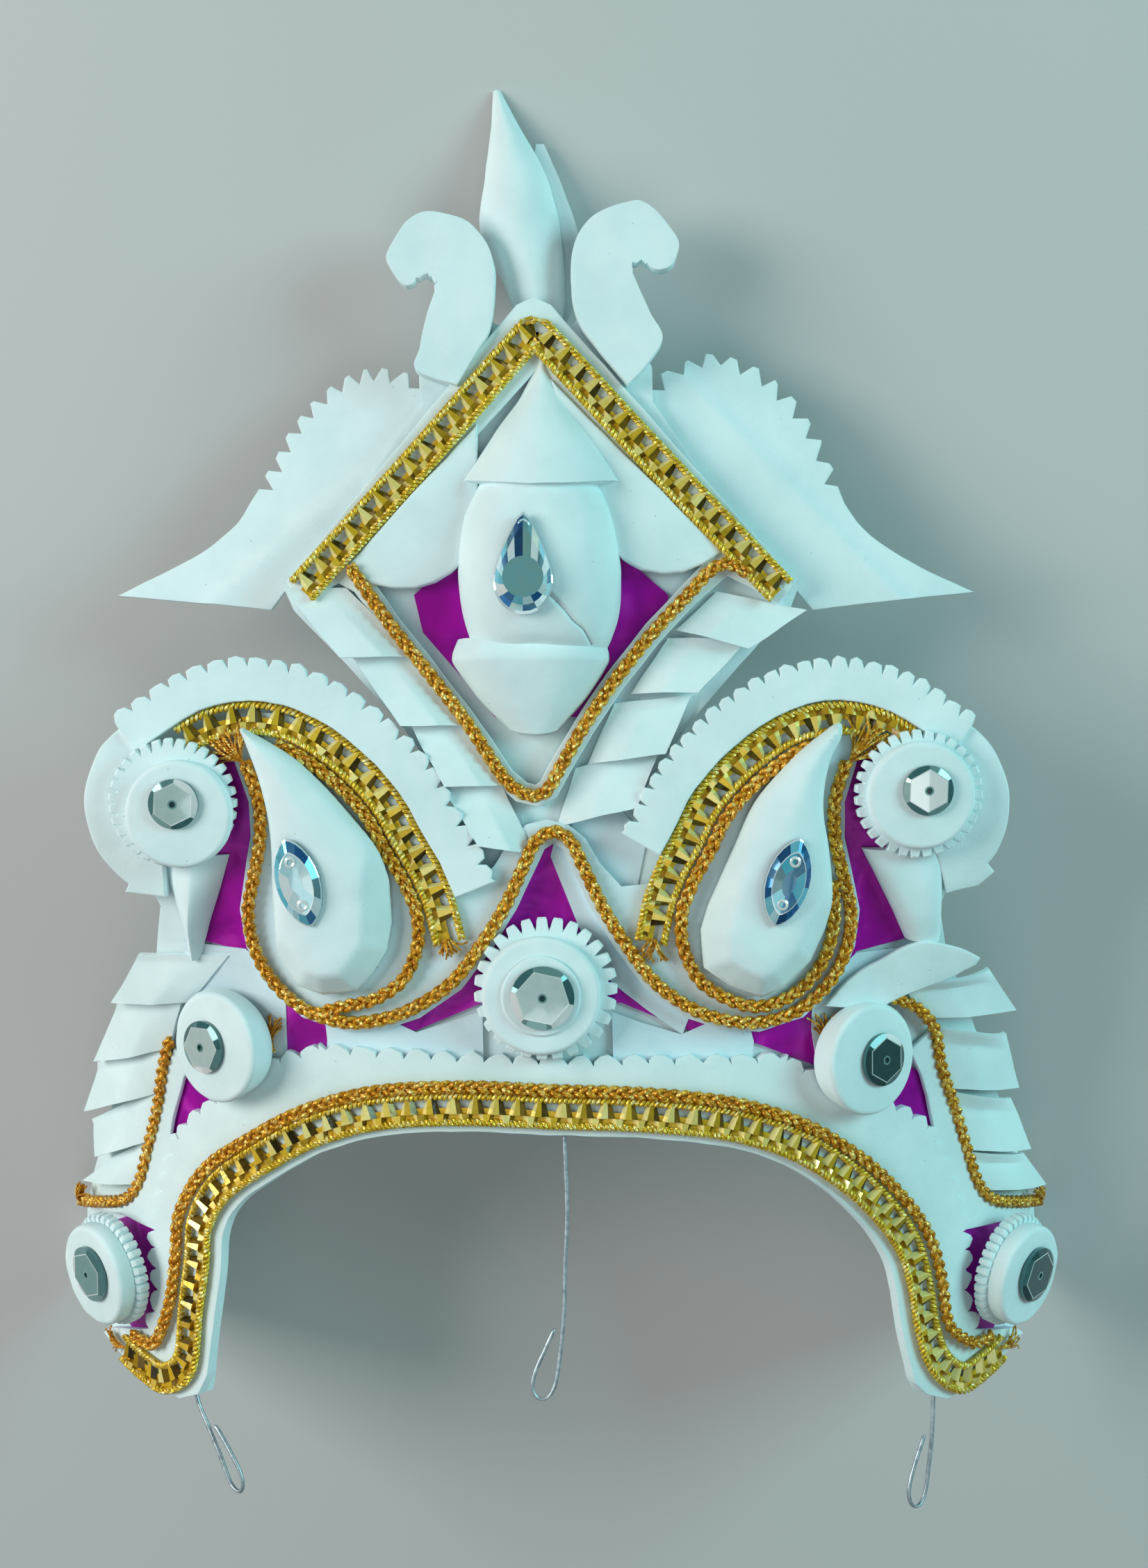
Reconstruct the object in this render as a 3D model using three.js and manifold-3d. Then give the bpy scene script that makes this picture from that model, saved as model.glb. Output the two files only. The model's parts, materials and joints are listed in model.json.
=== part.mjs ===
// Bridal crown of white pith cut-outs, layered over purple foil on a bent board and edged with
// gold trim and gold cord. It lies on its back, front up. Millimetres, +Z up.
// While it is built, x runs to the wearer's left (the viewer's right), y up to the finial and
// z out of the front. Every layer is drawn flat in x and y and then laid on the bent board.
import * as THREE from 'three';
import { mergeVertices } from 'three/addons/utils/BufferGeometryUtils.js';
import Module from 'manifold-3d';

const wasm = await Module();
wasm.setup();

// Bend of the board: flat above the paisleys, wrapped round the temples lower down
const SPAN = 116;            // half-width at which the board would stand on edge
const FLAT = 9;              // half-width of the flat middle
const WRAP_TOP = 5.5;        // depth of the wrap above WRAP_FROM
const WRAP_LOW = 90;         // depth of the wrap at WRAP_TO
const WRAP_FROM = 10;
const WRAP_TO = -75;
const WRAP_GAIN = 0.15;      // extra depth for each millimetre below WRAP_TO
const LEAN = 0.026;          // the hand-made crown leans a little to its left, by height
const LEAN_FROM = -18;
const CHORD = 0.12;          // how far a facet may stray from the bend
const REST_TILT = 0.2307;    // turn about x that lays the finial and both sides on the table

// Heights of the layers above the front of the board
const GAP = 0.35;
const BOARD = { low: -2, high: 0 };
const FOIL = { low: 0.3, high: 0.8 };
const GROUND = { low: 1.15, high: 2.6 };
const ON_GROUND = GROUND.high + GAP;
const TRIM = { low: ON_GROUND, high: 5, half: 3.1 };
const CORD_RADIUS = 1.35;
const CORD_HEIGHT = ON_GROUND + CORD_RADIUS;
const CORD_SIDES = 6;

const FINISH = {
  pith: { color: 0xdcebe8, roughness: 0.85, metalness: 0 },
  foil: { color: 0x7d0f88, roughness: 0.3, metalness: 0.6 },
  gold: { color: 0xd9a521, roughness: 0.25, metalness: 1 },
  zari: { color: 0xbf7a1c, roughness: 0.45, metalness: 0.7 },
  mirror: { color: 0xcfe0e0, roughness: 0.06, metalness: 1 },
  crystal: { color: 0x9fd3e6, roughness: 0.05, metalness: 0.1 },
  wire: { color: 0x9fc3cc, roughness: 0.4, metalness: 0.8 },
};

const crown = new THREE.Group();

// Placing: the bent board's depth and normal, and a point h above its front

function smooth(t) {
  const s = THREE.MathUtils.clamp(t, 0, 1);
  return s * s * (3 - 2 * s);
}

function wrapAt(y) {
  const t = (WRAP_FROM - y) / (WRAP_FROM - WRAP_TO);
  return WRAP_TOP + (WRAP_LOW - WRAP_TOP) * smooth(t) + WRAP_GAIN * Math.max(0, WRAP_TO - y);
}

function depthAt(x, y) {
  const u = Math.min(0.98, Math.max(0, Math.abs(x) - FLAT) / (SPAN - FLAT));
  return -wrapAt(y) * (1 - Math.sqrt(1 - u * u));
}

function normalAt(x, y) {
  const step = 0.05;
  const slopeX = (depthAt(x + step, y) - depthAt(x - step, y)) / (2 * step);
  const slopeY = (depthAt(x, y + step) - depthAt(x, y - step)) / (2 * step);
  return new THREE.Vector3(-slopeX, -slopeY, 1).normalize();
}

function place(x, y, h) {
  const point = new THREE.Vector3(x, y, depthAt(x, y));
  point.addScaledVector(normalAt(x, y), h);
  point.x -= LEAN * (point.y - LEAN_FROM);
  return point;
}

// Flat drawing: mirrored lists, smooth paths, offsets and saw teeth

function mirrored(points, side) {
  return points.map(([x, y]) => [side * x, y]);
}

function smoothPath(points, spacing) {
  const curve = new THREE.SplineCurve(points.map(([x, y]) => new THREE.Vector2(x, y)));
  const count = Math.max(2, Math.round(curve.getLength() / spacing));
  return curve.getSpacedPoints(count).map((p) => [p.x, p.y]);
}

// Moves a path sideways, to its left where the distance is positive
function offsetPath(path, distance) {
  return path.map(([x, y], i) => {
    const before = path[Math.max(0, i - 1)];
    const after = path[Math.min(path.length - 1, i + 1)];
    const run = Math.hypot(after[0] - before[0], after[1] - before[1]);
    const along = typeof distance === 'function' ? distance(i / (path.length - 1)) : distance;
    return [x - (along * (after[1] - before[1])) / run, y + (along * (after[0] - before[0])) / run];
  });
}

function stripOutline(path, half) {
  const other = typeof half === 'function' ? (t) => -half(t) : -half;
  return [...offsetPath(path, other), ...offsetPath(path, half).reverse()];
}

// Cuts teeth into a path: every second point is a root, set back by the depth
function sawTeeth(path, count, depth) {
  const curve = new THREE.SplineCurve(path.map(([x, y]) => new THREE.Vector2(x, y)));
  const points = curve.getSpacedPoints(2 * count).map((p) => [p.x, p.y]);
  const roots = offsetPath(points, -depth);
  return points.map((tip, i) => (i % 2 ? roots[i] : tip));
}

function arcPoints(cx, cy, radius, from, to, count) {
  return Array.from({ length: count + 1 }, (_, i) => {
    const angle = THREE.MathUtils.degToRad(from + ((to - from) * i) / count);
    return [cx + radius * Math.cos(angle), cy + radius * Math.sin(angle)];
  });
}

// Meshes from vertices and triangles, always facing out

function closedGeometry(vertices, triangles) {
  let volume = 0;
  for (const [a, b, c] of triangles) {
    volume += vertices[a].dot(vertices[b].clone().cross(vertices[c]));
  }
  const facing = volume < 0 ? triangles.map(([a, b, c]) => [a, c, b]) : triangles;
  const geometry = new THREE.BufferGeometry();
  const numbers = vertices.flatMap((v) => v.toArray());
  geometry.setAttribute('position', new THREE.Float32BufferAttribute(numbers, 3));
  geometry.setIndex(facing.flat());
  return geometry;
}

function addPiece(name, geometry, finish) {
  const mesh = new THREE.Mesh(geometry, new THREE.MeshStandardMaterial(FINISH[finish]));
  mesh.name = name;
  crown.add(mesh);
  return mesh;
}

// Lists the triangles on each edge, with the corner that faces it
function edgesOf(triangles) {
  const edges = new Map();
  triangles.forEach((triangle, index) => {
    for (let k = 0; k < 3; k += 1) {
      const [a, b, opposite] = [triangle[k], triangle[(k + 1) % 3], triangle[(k + 2) % 3]];
      const key = `${Math.min(a, b)} ${Math.max(a, b)}`;
      if (!edges.has(key)) edges.set(key, []);
      edges.get(key).push({ a, b, opposite, index });
    }
  });
  return edges;
}

function turnOf(p, q, r) {
  return (q.x - p.x) * (r.y - p.y) - (q.y - p.y) * (r.x - p.x);
}

// Lays flat triangles on the bend: swaps diagonals and halves edges until each edge follows it
function fitToBend(points, faces) {
  let triangles = faces;
  const sags = new Map();
  const sag = (a, b) => {
    const key = `${Math.min(a, b)} ${Math.max(a, b)}`;
    if (!sags.has(key)) {
      const [p, q] = [points[a], points[b]];
      const start = place(p.x, p.y, 0);
      const end = place(q.x, q.y, 0);
      sags.set(key, Math.max(...[0.25, 0.5, 0.75].map((t) => {
        const on = place(p.x + (q.x - p.x) * t, p.y + (q.y - p.y) * t, 0);
        return on.distanceTo(start.clone().lerp(end, t));
      })));
    }
    return sags.get(key);
  };
  const swapDiagonals = () => {
    const touched = new Set();
    for (const sides of edgesOf(triangles).values()) {
      if (sides.length < 2 || sides.some(({ index }) => touched.has(index))) continue;
      const [{ a, b, opposite: c, index: first }, { opposite: d, index: second }] = sides;
      const [pa, pb, pc, pd] = [a, b, c, d].map((i) => points[i]);
      const convex = turnOf(pa, pd, pc) > 1 && turnOf(pb, pc, pd) > 1;
      if (!convex || sag(c, d) > sag(a, b) - 0.01) continue;
      triangles[first] = [a, d, c];
      triangles[second] = [b, c, d];
      touched.add(first).add(second);
    }
    return touched.size;
  };
  const halveEdges = () => {
    const touched = new Set();
    const length = ([{ a, b }]) => points[a].distanceTo(points[b]);
    const loose = [...edgesOf(triangles).values()].filter(([{ a, b }]) => sag(a, b) > CHORD);
    for (const sides of loose.sort((one, two) => length(two) - length(one))) {
      if (sides.some(({ index }) => touched.has(index))) continue;
      const middle = points.length;
      points.push(points[sides[0].a].clone().lerp(points[sides[0].b], 0.5));
      for (const { a, b, opposite, index } of sides) {
        triangles[index] = [a, middle, opposite];
        touched.add(index).add(triangles.length);
        triangles.push([middle, b, opposite]);
      }
    }
    return touched.size;
  };
  do {
    while (swapDiagonals() > 0);
  } while (halveEdges() > 0);
  return triangles;
}

// A body with an even underside, laid on the bend: the third value of each point is its top
function laidBody(points, faces, low) {
  const triangles = fitToBend(points, faces);
  const count = points.length;
  const vertices = [
    ...points.map((p) => place(p.x, p.y, p.z)),
    ...points.map((p) => place(p.x, p.y, low)),
  ];
  const border = [...edgesOf(triangles).values()].filter((sides) => sides.length === 1);
  return closedGeometry(vertices, [
    ...triangles,
    ...triangles.map(([a, b, c]) => [a + count, c + count, b + count]),
    ...border.flatMap(([{ a, b }]) => [[a, a + count, b], [b, a + count, b + count]]),
  ]);
}

function turned(outline, top, clockwise) {
  const points = outline.map(([x, y]) => new THREE.Vector3(x, y, top));
  return THREE.ShapeUtils.isClockWise(points) === clockwise ? points : points.reverse();
}

// A sheet of even thickness, cut to an outline and laid on the bend
function sheet(outline, low, high, hole = []) {
  const contour = turned(outline, high, false);
  const holes = hole.length > 0 ? [turned(hole, high, true)] : [];
  const faces = THREE.ShapeUtils.triangulateShape(contour, holes);
  return laidBody([...contour, ...holes.flat()], faces, low);
}

// A thick cut-out whose top slopes up from a shoulder to a smaller flat
function cushion(outline, { low, shoulder, high }, inset, [cx, cy]) {
  const contour = turned(outline, shoulder, false);
  const centre = new THREE.Vector3(cx, cy, 0);
  const flat = contour.map((p) => p.clone().lerp(centre, 1 - inset).setZ(high));
  const slope = THREE.ShapeUtils.triangulateShape(contour, [[...flat].reverse()]);
  const count = contour.length;
  const sloped = slope.map((face) => face.map((i) => (i < count ? i : 3 * count - 1 - i)));
  const capped = THREE.ShapeUtils.triangulateShape(flat, []).map((face) => face.map((i) => i + count));
  return laidBody([...contour, ...flat], [...sloped, ...capped], low);
}

// Joins rings of equal count, closing the first and last with a face
function ringLoft(rings) {
  const count = rings[0].length;
  const triangles = [];
  for (let r = 0; r + 1 < rings.length; r += 1) {
    for (let k = 0; k < count; k += 1) {
      const a = r * count + k;
      const b = r * count + ((k + 1) % count);
      triangles.push([a, b, a + count], [b, b + count, a + count]);
    }
  }
  const last = (rings.length - 1) * count;
  for (let k = 1; k + 1 < count; k += 1) {
    triangles.push([0, k + 1, k], [last, last + k, last + k + 1]);
  }
  return closedGeometry(rings.flat(), triangles);
}

// A carved stick with a flat back: rows give its middle, half-width and rise at each height
function carvedStick(rows, under, { power = 2, segments = 8, direction = 1 } = {}) {
  return ringLoft(rows.map(({ x, y, half, rise }) => Array.from({ length: segments + 1 }, (_, i) => {
    const across = Math.cos((Math.PI * i) / segments);
    const up = (1 - Math.abs(across) ** power) ** (1 / power);
    return place(x + half * across, y, under + direction * rise * up);
  })));
}

// Overlapping strips, each rising from its upper edge to its lower one
function shingles(rows, side) {
  const section = (inner, outer, under, top) => {
    const across = [0, 0.5, 1].map((t) => [0, 1].map((k) => inner[k] + (outer[k] - inner[k]) * t));
    const at = (h) => across.map(([x, y]) => place(side * x, y, h));
    return [...at(under), ...at(top).reverse()];
  };
  return ringLoft(rows.flatMap((row) => [
    section(row.innerTop, row.outerTop, row.under, row.under + row.thin),
    section(row.innerLow, row.outerLow, row.under, row.under + row.thick),
  ]));
}

// A cut-out with straight walls and a bevel up to a smaller top
function bevelled(outline, heights, inset, centre) {
  const top = outline.map(([x, y]) => [
    centre[0] + (x - centre[0]) * inset,
    centre[1] + (y - centre[1]) * inset,
  ]);
  return [
    outline.map(([x, y]) => [x, y, heights.low]),
    outline.map(([x, y]) => [x, y, heights.shoulder]),
    top.map(([x, y]) => [x, y, heights.high]),
  ];
}

function flatRings(rings) {
  return rings.map((ring) => ring.map(([x, y, h]) => new THREE.Vector3(x, y, h)));
}

// A tube along points of the form x, y, h
function tube(points, radius, sides, spacing) {
  const curve = new THREE.CatmullRomCurve3(points.map(([x, y, h]) => place(x, y, h)), false, 'centripetal');
  const section = new THREE.Shape(arcPoints(0, 0, radius, 0, 360 - 360 / sides, sides - 1)
    .map(([x, y]) => new THREE.Vector2(x, y)));
  const steps = Math.round(curve.getLength() / spacing);
  return new THREE.ExtrudeGeometry(section, { steps, extrudePath: curve });
}

function cord(name, path, height = CORD_HEIGHT) {
  addPiece(name, tube(path.map(([x, y]) => [x, y, height]), CORD_RADIUS, CORD_SIDES, 6), 'zari');
}

// Stands a piece built flat, back down, on the bend, tipped outward and down by extra angles
function seat(mesh, x, y, h, { outward = 0, down = 0, turn = 0 } = {}) {
  const normal = normalAt(x, y);
  const across = new THREE.Vector3(1, 0, 0).addScaledVector(normal, -normal.x).normalize();
  const basis = new THREE.Matrix4().makeBasis(across, normal.clone().cross(across), normal);
  mesh.quaternion.setFromRotationMatrix(basis);
  mesh.rotateY(Math.sign(x) * outward);
  mesh.rotateX(down);
  mesh.rotateZ(turn);
  mesh.position.copy(place(x, y, h));
}

function toManifold(geometry) {
  const plain = geometry.clone();
  plain.deleteAttribute('normal');
  plain.deleteAttribute('uv');
  const merged = mergeVertices(plain);
  return new wasm.Manifold(new wasm.Mesh({
    numProp: 3,
    vertProperties: merged.attributes.position.array,
    triVerts: new Uint32Array(merged.index.array),
  }));
}

function joined(first, second) {
  const mesh = toManifold(first).add(toManifold(second)).getMesh();
  const geometry = new THREE.BufferGeometry();
  geometry.setAttribute('position', new THREE.BufferAttribute(new Float32Array(mesh.vertProperties), 3));
  geometry.setIndex([...mesh.triVerts]);
  return geometry;
}

// The brow opening: half of its edge for each side, from the middle down to the leg
const ARCH_MIDDLE = [0, -67.4];
const ARCH = [
  { left: [-18, -66.7], right: [17, -68] },
  { left: [-34, -67.8], right: [33.5, -69.2] },
  { left: [-46, -71.5], right: [46, -72.6] },
  { left: [-56, -76.4], right: [56.5, -79] },
  { left: [-65.5, -83], right: [63.8, -86.4] },
  { left: [-70.2, -89.5], right: [68.8, -94] },
  { left: [-71.5, -97], right: [70.9, -102] },
  { left: [-73, -108], right: [72, -112] },
  { left: [-74.6, -121], right: [73.8, -122.5] },
];

function archPoints(rows) {
  return [
    ...rows.map((row) => row.left).reverse(),
    ARCH_MIDDLE,
    ...rows.map((row) => row.right),
  ];
}

const archEdge = smoothPath(archPoints(ARCH), 6);

// Joins a right-hand side, listed from the arch upward, to its mirror image
function withBothSides(rightSide) {
  return [...archEdge, ...rightSide, ...mirrored(rightSide, -1).reverse()];
}

// Board: brow, legs, two lobes behind the rosettes and a stem that spreads behind the diamond
const LEG_END = [[75.4, -125.5], [80, -127.5], [86, -126], [93.5, -122.8], [100.5, -119.3]];
const BOARD_SIDE = [
  ...LEG_END,
  [107, -112], [109.5, -104], [109, -95], [105, -84], [99, -70], [93, -56], [87, -43], [82, -32],
  [80, -22], [86, -8], [87.5, 2], [83, 12], [76, 18], [66, 22.5], [56, 23], [46, 20], [38, 14.5],
  [30, 7], [24, -1], [20.5, -6.5], [18, -3], [20.5, 3], [29, 15], [40, 27.5], [50, 38],
  [52, 43], [34.5, 63.5], [23.5, 80], [23.5, 87], [19, 97], [12, 103.5], [8.2, 96], [2, 93],
];
addPiece('base_board', sheet(withBothSides(BOARD_SIDE), BOARD.low, BOARD.high), 'pith');

// Gold wave cord: over the middle, round below each paisley and up beside the rosettes
const WAVE = [
  [3.5, -8.5], [6, -13.5], [9.5, -21], [14, -28.5], [20, -36.5], [27.5, -41.8], [34, -44.1],
  [41, -44.6], [49, -42], [55.5, -36], [59, -29], [60, -22], [58.7, -15], [57.3, -7.5],
  [57.5, 0], [60, 7.5],
];
const WAVE_TOP = [0, -6.5];
const BELL = { shift: 1.3, half: 30 };   // the bell at the middle stands a little to one side
const wavePath = [...mirrored(WAVE, -1).reverse(), WAVE_TOP, ...WAVE]
  .map(([x, y]) => [x + BELL.shift * Math.max(0, 1 - Math.abs(x) / BELL.half), y]);

// Purple foil: shows in the bell at the middle, beside the rosettes and along the legs
const FOIL_SIDE = [
  [66, 10], [73, -2], [74, -28], [62, -31], [59.5, -36], [58.5, -44], [62, -50], [72, -54],
  [79, -60], [84, -73], [87.5, -83], [92, -91], [101, -94.5], [107, -101], [105, -112],
  [98, -116], [92.5, -115], [89, -104], [86, -92], [82, -82], [77, -70], [66, -60.5],
  [52, -54], [41, -49.5], [27, -46.5], [14, -41],
];
const foilOutline = [...wavePath, ...FOIL_SIDE, ...mirrored(FOIL_SIDE, -1).reverse()];
addPiece('foil_ground', sheet(foilOutline, FOIL.low, FOIL.high), 'foil');

// White brow band with a scalloped top
const SCALLOPS = { from: -46, to: 46, count: 17, middle: -51.4, end: -49.4, depth: 1.6 };
const BAND_SIDE = [
  ...LEG_END,
  [98, -117.2], [92, -112.5], [90, -104], [88, -92], [84.5, -82], [80.5, -72.5], [76, -66],
  [66, -58.5], [57, -52.5], [50, -49.6],
];

function scallopEdge({ from, to, count, middle, end, depth }) {
  const pitch = (to - from) / count;
  const at = (x, below) => [x, middle + (end - middle) * (x / to) ** 2 - below];
  return Array.from({ length: count }, (_, i) => to - i * pitch).flatMap((x) => [
    at(x, depth),
    at(x - 0.25 * pitch, 0),
    at(x - 0.75 * pitch, 0.2 * depth),
  ]);
}

const bandOutline = [
  ...archEdge,
  ...BAND_SIDE,
  ...scallopEdge(SCALLOPS),
  ...mirrored(BAND_SIDE, -1).reverse(),
];
addPiece('brow_band', sheet(bandOutline, GROUND.low, GROUND.high), 'pith');

// Gold trim along the arch and a cord above it, both turned outward below the rosettes
const TRIM_INSET = 4.7;
const CORD_INSET = TRIM_INSET + TRIM.half + GAP + CORD_RADIUS;
const TRIM_TURN = [[82.5, -123.4], [88, -122], [93, -119.6]];
const CORD_TURN = [[83.8, -115.6], [87, -116.4], [89.8, -115.8]];

function browPath(rows, inset, turn) {
  const along = offsetPath(archPoints(rows), inset);
  return [...mirrored(turn, -1).reverse(), ...along, ...turn];
}

const browTrim = smoothPath(browPath(ARCH.slice(0, -1), TRIM_INSET, [[77.4, -119], ...TRIM_TURN]), 4);
addPiece('brow_trim', sheet(stripOutline(browTrim, TRIM.half), TRIM.low, TRIM.high), 'gold');
cord('brow_cord', smoothPath(browPath(ARCH.slice(0, -1), CORD_INSET, CORD_TURN), 7));

// White ground under both paisleys, joined over the middle, and the wave cord on its edge
const GROUND_RIM = 2.3;
const GROUND_TOP = [
  [63.5, 13], [59, 17.5], [52, 17], [44, 13.5], [36, 7.5], [30, 0.5], [25, -8], [20, -17],
  [14.5, -17.5], [10.5, -13], [7.6, -8], [4, -5],
];
const groundRim = offsetPath(wavePath, -GROUND_RIM);
const groundOutline = [...groundRim, ...GROUND_TOP, [0, -4.1], ...mirrored(GROUND_TOP, -1).reverse()];
addPiece('paisley_ground', sheet(groundOutline, GROUND.low, GROUND.high), 'pith');
cord('wave_cord', wavePath);

// Crescents over the paisleys: saw-toothed outside, with a gold trim and a cord inside them
const CRESCENT = {
  thick: 2.3,
  half: 4.4,
  teeth: 21,
  tooth: 2.2,
  path: [
    [80, 15.8], [71, 21.5], [62, 23.9], [54, 23.7], [46, 21.3], [38.5, 16.8], [31, 10.3],
    [25, 3], [21.3, -4], [17.3, -11], [14.5, -18],
  ],
};
const CRESCENT_TRIM = CRESCENT.half + GAP + TRIM.half;
const LOOP_INSET = CRESCENT_TRIM + TRIM.half + GAP + CORD_RADIUS;
const TRIM_FROM = 0.04;
const TRIM_END = [20, -28.5];
const LOOP_FROM = 0.36;
const LOOP_END = [
  [26.2, -29], [29.2, -36], [35, -40], [41, -41.4], [47, -39.4], [51.8, -35.3], [55.2, -29.5],
  [56.6, -23],
];

// Paisleys: thick carved drops with a bevel, each holding a boat-shaped stone
const PAISLEY = {
  outline: [
    [58.4, 12.8], [51.5, 7], [45, 0], [40, -7.5], [35, -16], [32, -24], [31.7, -31],
    [34.8, -36], [40, -38.6], [45.8, -37.4], [50.6, -32], [53.2, -25.5], [54.4, -18], [54.6, -8],
    [54.8, 0], [56, 6.5],
  ],
  heights: { low: ON_GROUND, shoulder: 7, high: 10.4 },
  inset: 0.72,
  centre: [48.5, -15],
};
const BOAT_STONE = {
  x: { _left: 48.3, _right: 46.2 },
  y: -15.5,
  length: 18,
  width: 9,
  rise: 2.6,
  turn: -0.28,
  table: 0.55,
};

function boatOutline(length, width, count) {
  return Array.from({ length: count }, (_, i) => {
    const angle = (2 * Math.PI * i) / count;
    const across = Math.sin(angle);
    return [(width / 2) * across * Math.abs(across) ** 0.35, (length / 2) * Math.cos(angle)];
  });
}

function cutStone(name, outline, rise, table, centre = [0, 0]) {
  const heights = { low: 0, shoulder: 0.3 * rise, high: rise };
  return addPiece(name, ringLoft(flatRings(bevelled(outline, heights, table, centre))), 'crystal');
}

// Rosettes: thick pith discs, most on a toothed disc, each with a round mirror on top
const ROSETTES = [
  {
    name: 'upper', at: { _left: [74.3, -0.8], _right: [74.3, 0] }, seat: 4.4, toothed: 12.9, teeth: 24,
    tooth: 1.5, thin: 2.2, smooth: 10.3, thick: 2.7, mirror: 5, mirrorOut: 1.1, outward: 0, down: 0,
  },
  {
    name: 'middle', at: { _left: [65.8, -48.6], _right: [62.2, -52] }, seat: 3.3, toothed: 0,
    smooth: 11.7, thick: 2.6, mirror: 5.4, mirrorOut: 2.4, outward: 0.14, down: -0.06,
  },
  {
    name: 'low', at: { _left: [91.4, -101.8], _right: [92.6, -101.4] }, seat: 3.3, toothed: 12.6, teeth: 24,
    tooth: 1.4, thin: 2.6, smooth: 11, thick: 4, mirror: 6, mirrorOut: 0, outward: -0.03, down: 0.15,
  },
];
const CENTRE_ROSETTE = {
  name: 'centre', at: { '': [-2, -39.1] }, seat: ON_GROUND, toothed: 14.3, teeth: 26, tooth: 1.6,
  thin: 2.4, smooth: 10.4, thick: 3.4, mirror: 6.3, mirrorOut: 0, outward: 0, down: 0,
};
const MIRROR = { rise: 1.6, table: 0.72 };
const DISC = { sides: 20, bevel: 0.5 };

// A disc whose top is tipped away from its back, so that its wall is a wedge
function wedgeDisc(radius, thick, { outward, down }, side) {
  const tip = new THREE.Euler(down, side * outward, 0, 'YXZ');
  const rise = thick + radius * Math.sin(Math.hypot(outward, down));
  const ring = (r, drop) => arcPoints(0, 0, r, 0, 360 - 360 / DISC.sides, DISC.sides - 1)
    .map(([x, y]) => new THREE.Vector3(x, y, -drop).applyEuler(tip).add(new THREE.Vector3(0, 0, rise)));
  const foot = arcPoints(0, 0, radius, 0, 360 - 360 / DISC.sides, DISC.sides - 1)
    .map(([x, y]) => new THREE.Vector3(x, y, 0));
  return ringLoft([foot, ring(radius, DISC.bevel), ring(radius - DISC.bevel, 0)]);
}

function discGeometry(radius, thick, low) {
  const { bevel, sides } = DISC;
  const profile = [[0, 0], [radius, 0], [radius, thick - bevel], [radius - bevel, thick], [0, thick]];
  const disc = new THREE.LatheGeometry(profile.map(([r, z]) => new THREE.Vector2(r, z)), sides);
  return disc.rotateX(Math.PI / 2).translate(0, 0, low);
}

function toothedGeometry({ teeth, toothed, tooth, thin }) {
  const rim = arcPoints(0, 0, 1, 0, 360 - 180 / teeth, 2 * teeth - 1)
    .map(([x, y], i) => new THREE.Vector2(x, y).multiplyScalar(toothed - (i % 2 ? tooth : 0)));
  return new THREE.ExtrudeGeometry(new THREE.Shape(rim), { depth: thin, bevelEnabled: false });
}

function rosette(row, side, suffix) {
  const overlap = 0.2;
  const [x, y] = row.at[suffix];
  const tipped = { outward: row.outward, down: row.down };
  const onTeeth = row.toothed > 0;
  const lift = Math.max(row.toothed, row.smooth) * Math.sin(Math.hypot(row.outward, row.down));
  const under = onTeeth ? row.thin - overlap : 0;
  const body = onTeeth
    ? joined(toothedGeometry(row), discGeometry(row.smooth, row.thick, under))
    : wedgeDisc(row.smooth, row.thick, tipped, side);
  const piece = addPiece(`${row.name}_rosette${suffix}`, body, 'pith');
  seat(piece, side * x, y, row.seat + (onTeeth ? lift : 0), onTeeth ? tipped : {});
  const glass = bevelled(
    arcPoints(0, 0, row.mirror, 0, 330, 11),
    { low: 0, shoulder: 0.6, high: MIRROR.rise },
    MIRROR.table,
    [0, 0],
  );
  const mirror = addPiece(`${row.name}_mirror${suffix}`, ringLoft(flatRings(glass)), 'mirror');
  const top = onTeeth ? lift : row.thick + lift;
  seat(mirror, side * x, y, row.seat + top, tipped);
  mirror.translateX(side * row.mirrorOut);
  mirror.translateZ((onTeeth ? under + row.thick : 0) + GAP);
}

// Scroll round the outside of each upper rosette, and the tapered leg below it
const SCROLL = { outer: 18.4, inner: 8, from: 50, to: -70, low: GROUND.low, high: 4 };
const LEG = {
  under: GROUND.low,
  top: -14,
  reach: { _left: 18, _right: 12.4 },
  rows: [
    { x: 71.6, along: 0, half: 7.2, rise: 3.6 },
    { x: 72.4, along: 0.3, half: 6, rise: 5 },
    { x: 74, along: 0.65, half: 4, rise: 4.4 },
    { x: 75, along: 1, half: 2, rise: 2.6 },
  ],
};

// Side strips fan outward beside the cord that runs down past the middle rosettes
const STRIP = { under: 1.2, thin: 1, thick: 3.4 };
const STRIPS = {
  _left: [
    { innerTop: [75, -33.6], outerTop: [84.6, -33.2], innerLow: [78.4, -42], outerLow: [90.8, -41.2] },
    { innerTop: [79, -42.6], outerTop: [92, -45.4], innerLow: [82.4, -51.6], outerLow: [97.6, -55.6] },
    { innerTop: [82.8, -52.4], outerTop: [99.4, -59], innerLow: [86.6, -62], outerLow: [103.6, -69.6] },
    { innerTop: [87.2, -64], outerTop: [103.6, -71.6], innerLow: [89.2, -71.4], outerLow: [102.4, -78.2] },
    { innerTop: [89.8, -73.6], outerTop: [103.2, -79.2], innerLow: [92.6, -82], outerLow: [106.4, -86.6] },
  ],
  _right: [
    { innerTop: [61.8, -34.4], outerTop: [83.6, -29.4], innerLow: [64.8, -37.6], outerLow: [85.6, -31.8] },
    { innerTop: [76.8, -39.2], outerTop: [90.4, -35.2], innerLow: [82, -46.4], outerLow: [97.8, -43] },
    { innerTop: [82.2, -47.4], outerTop: [97.6, -49.4], innerLow: [84.8, -61.2], outerLow: [100, -63.4] },
    { innerTop: [85, -62], outerTop: [99.6, -65.6], innerLow: [88.4, -74.4], outerLow: [103.4, -76.8] },
    { innerTop: [88.6, -75.2], outerTop: [102.4, -78], innerLow: [92.8, -84.6], outerLow: [107.6, -87.8] },
  ],
};
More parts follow.
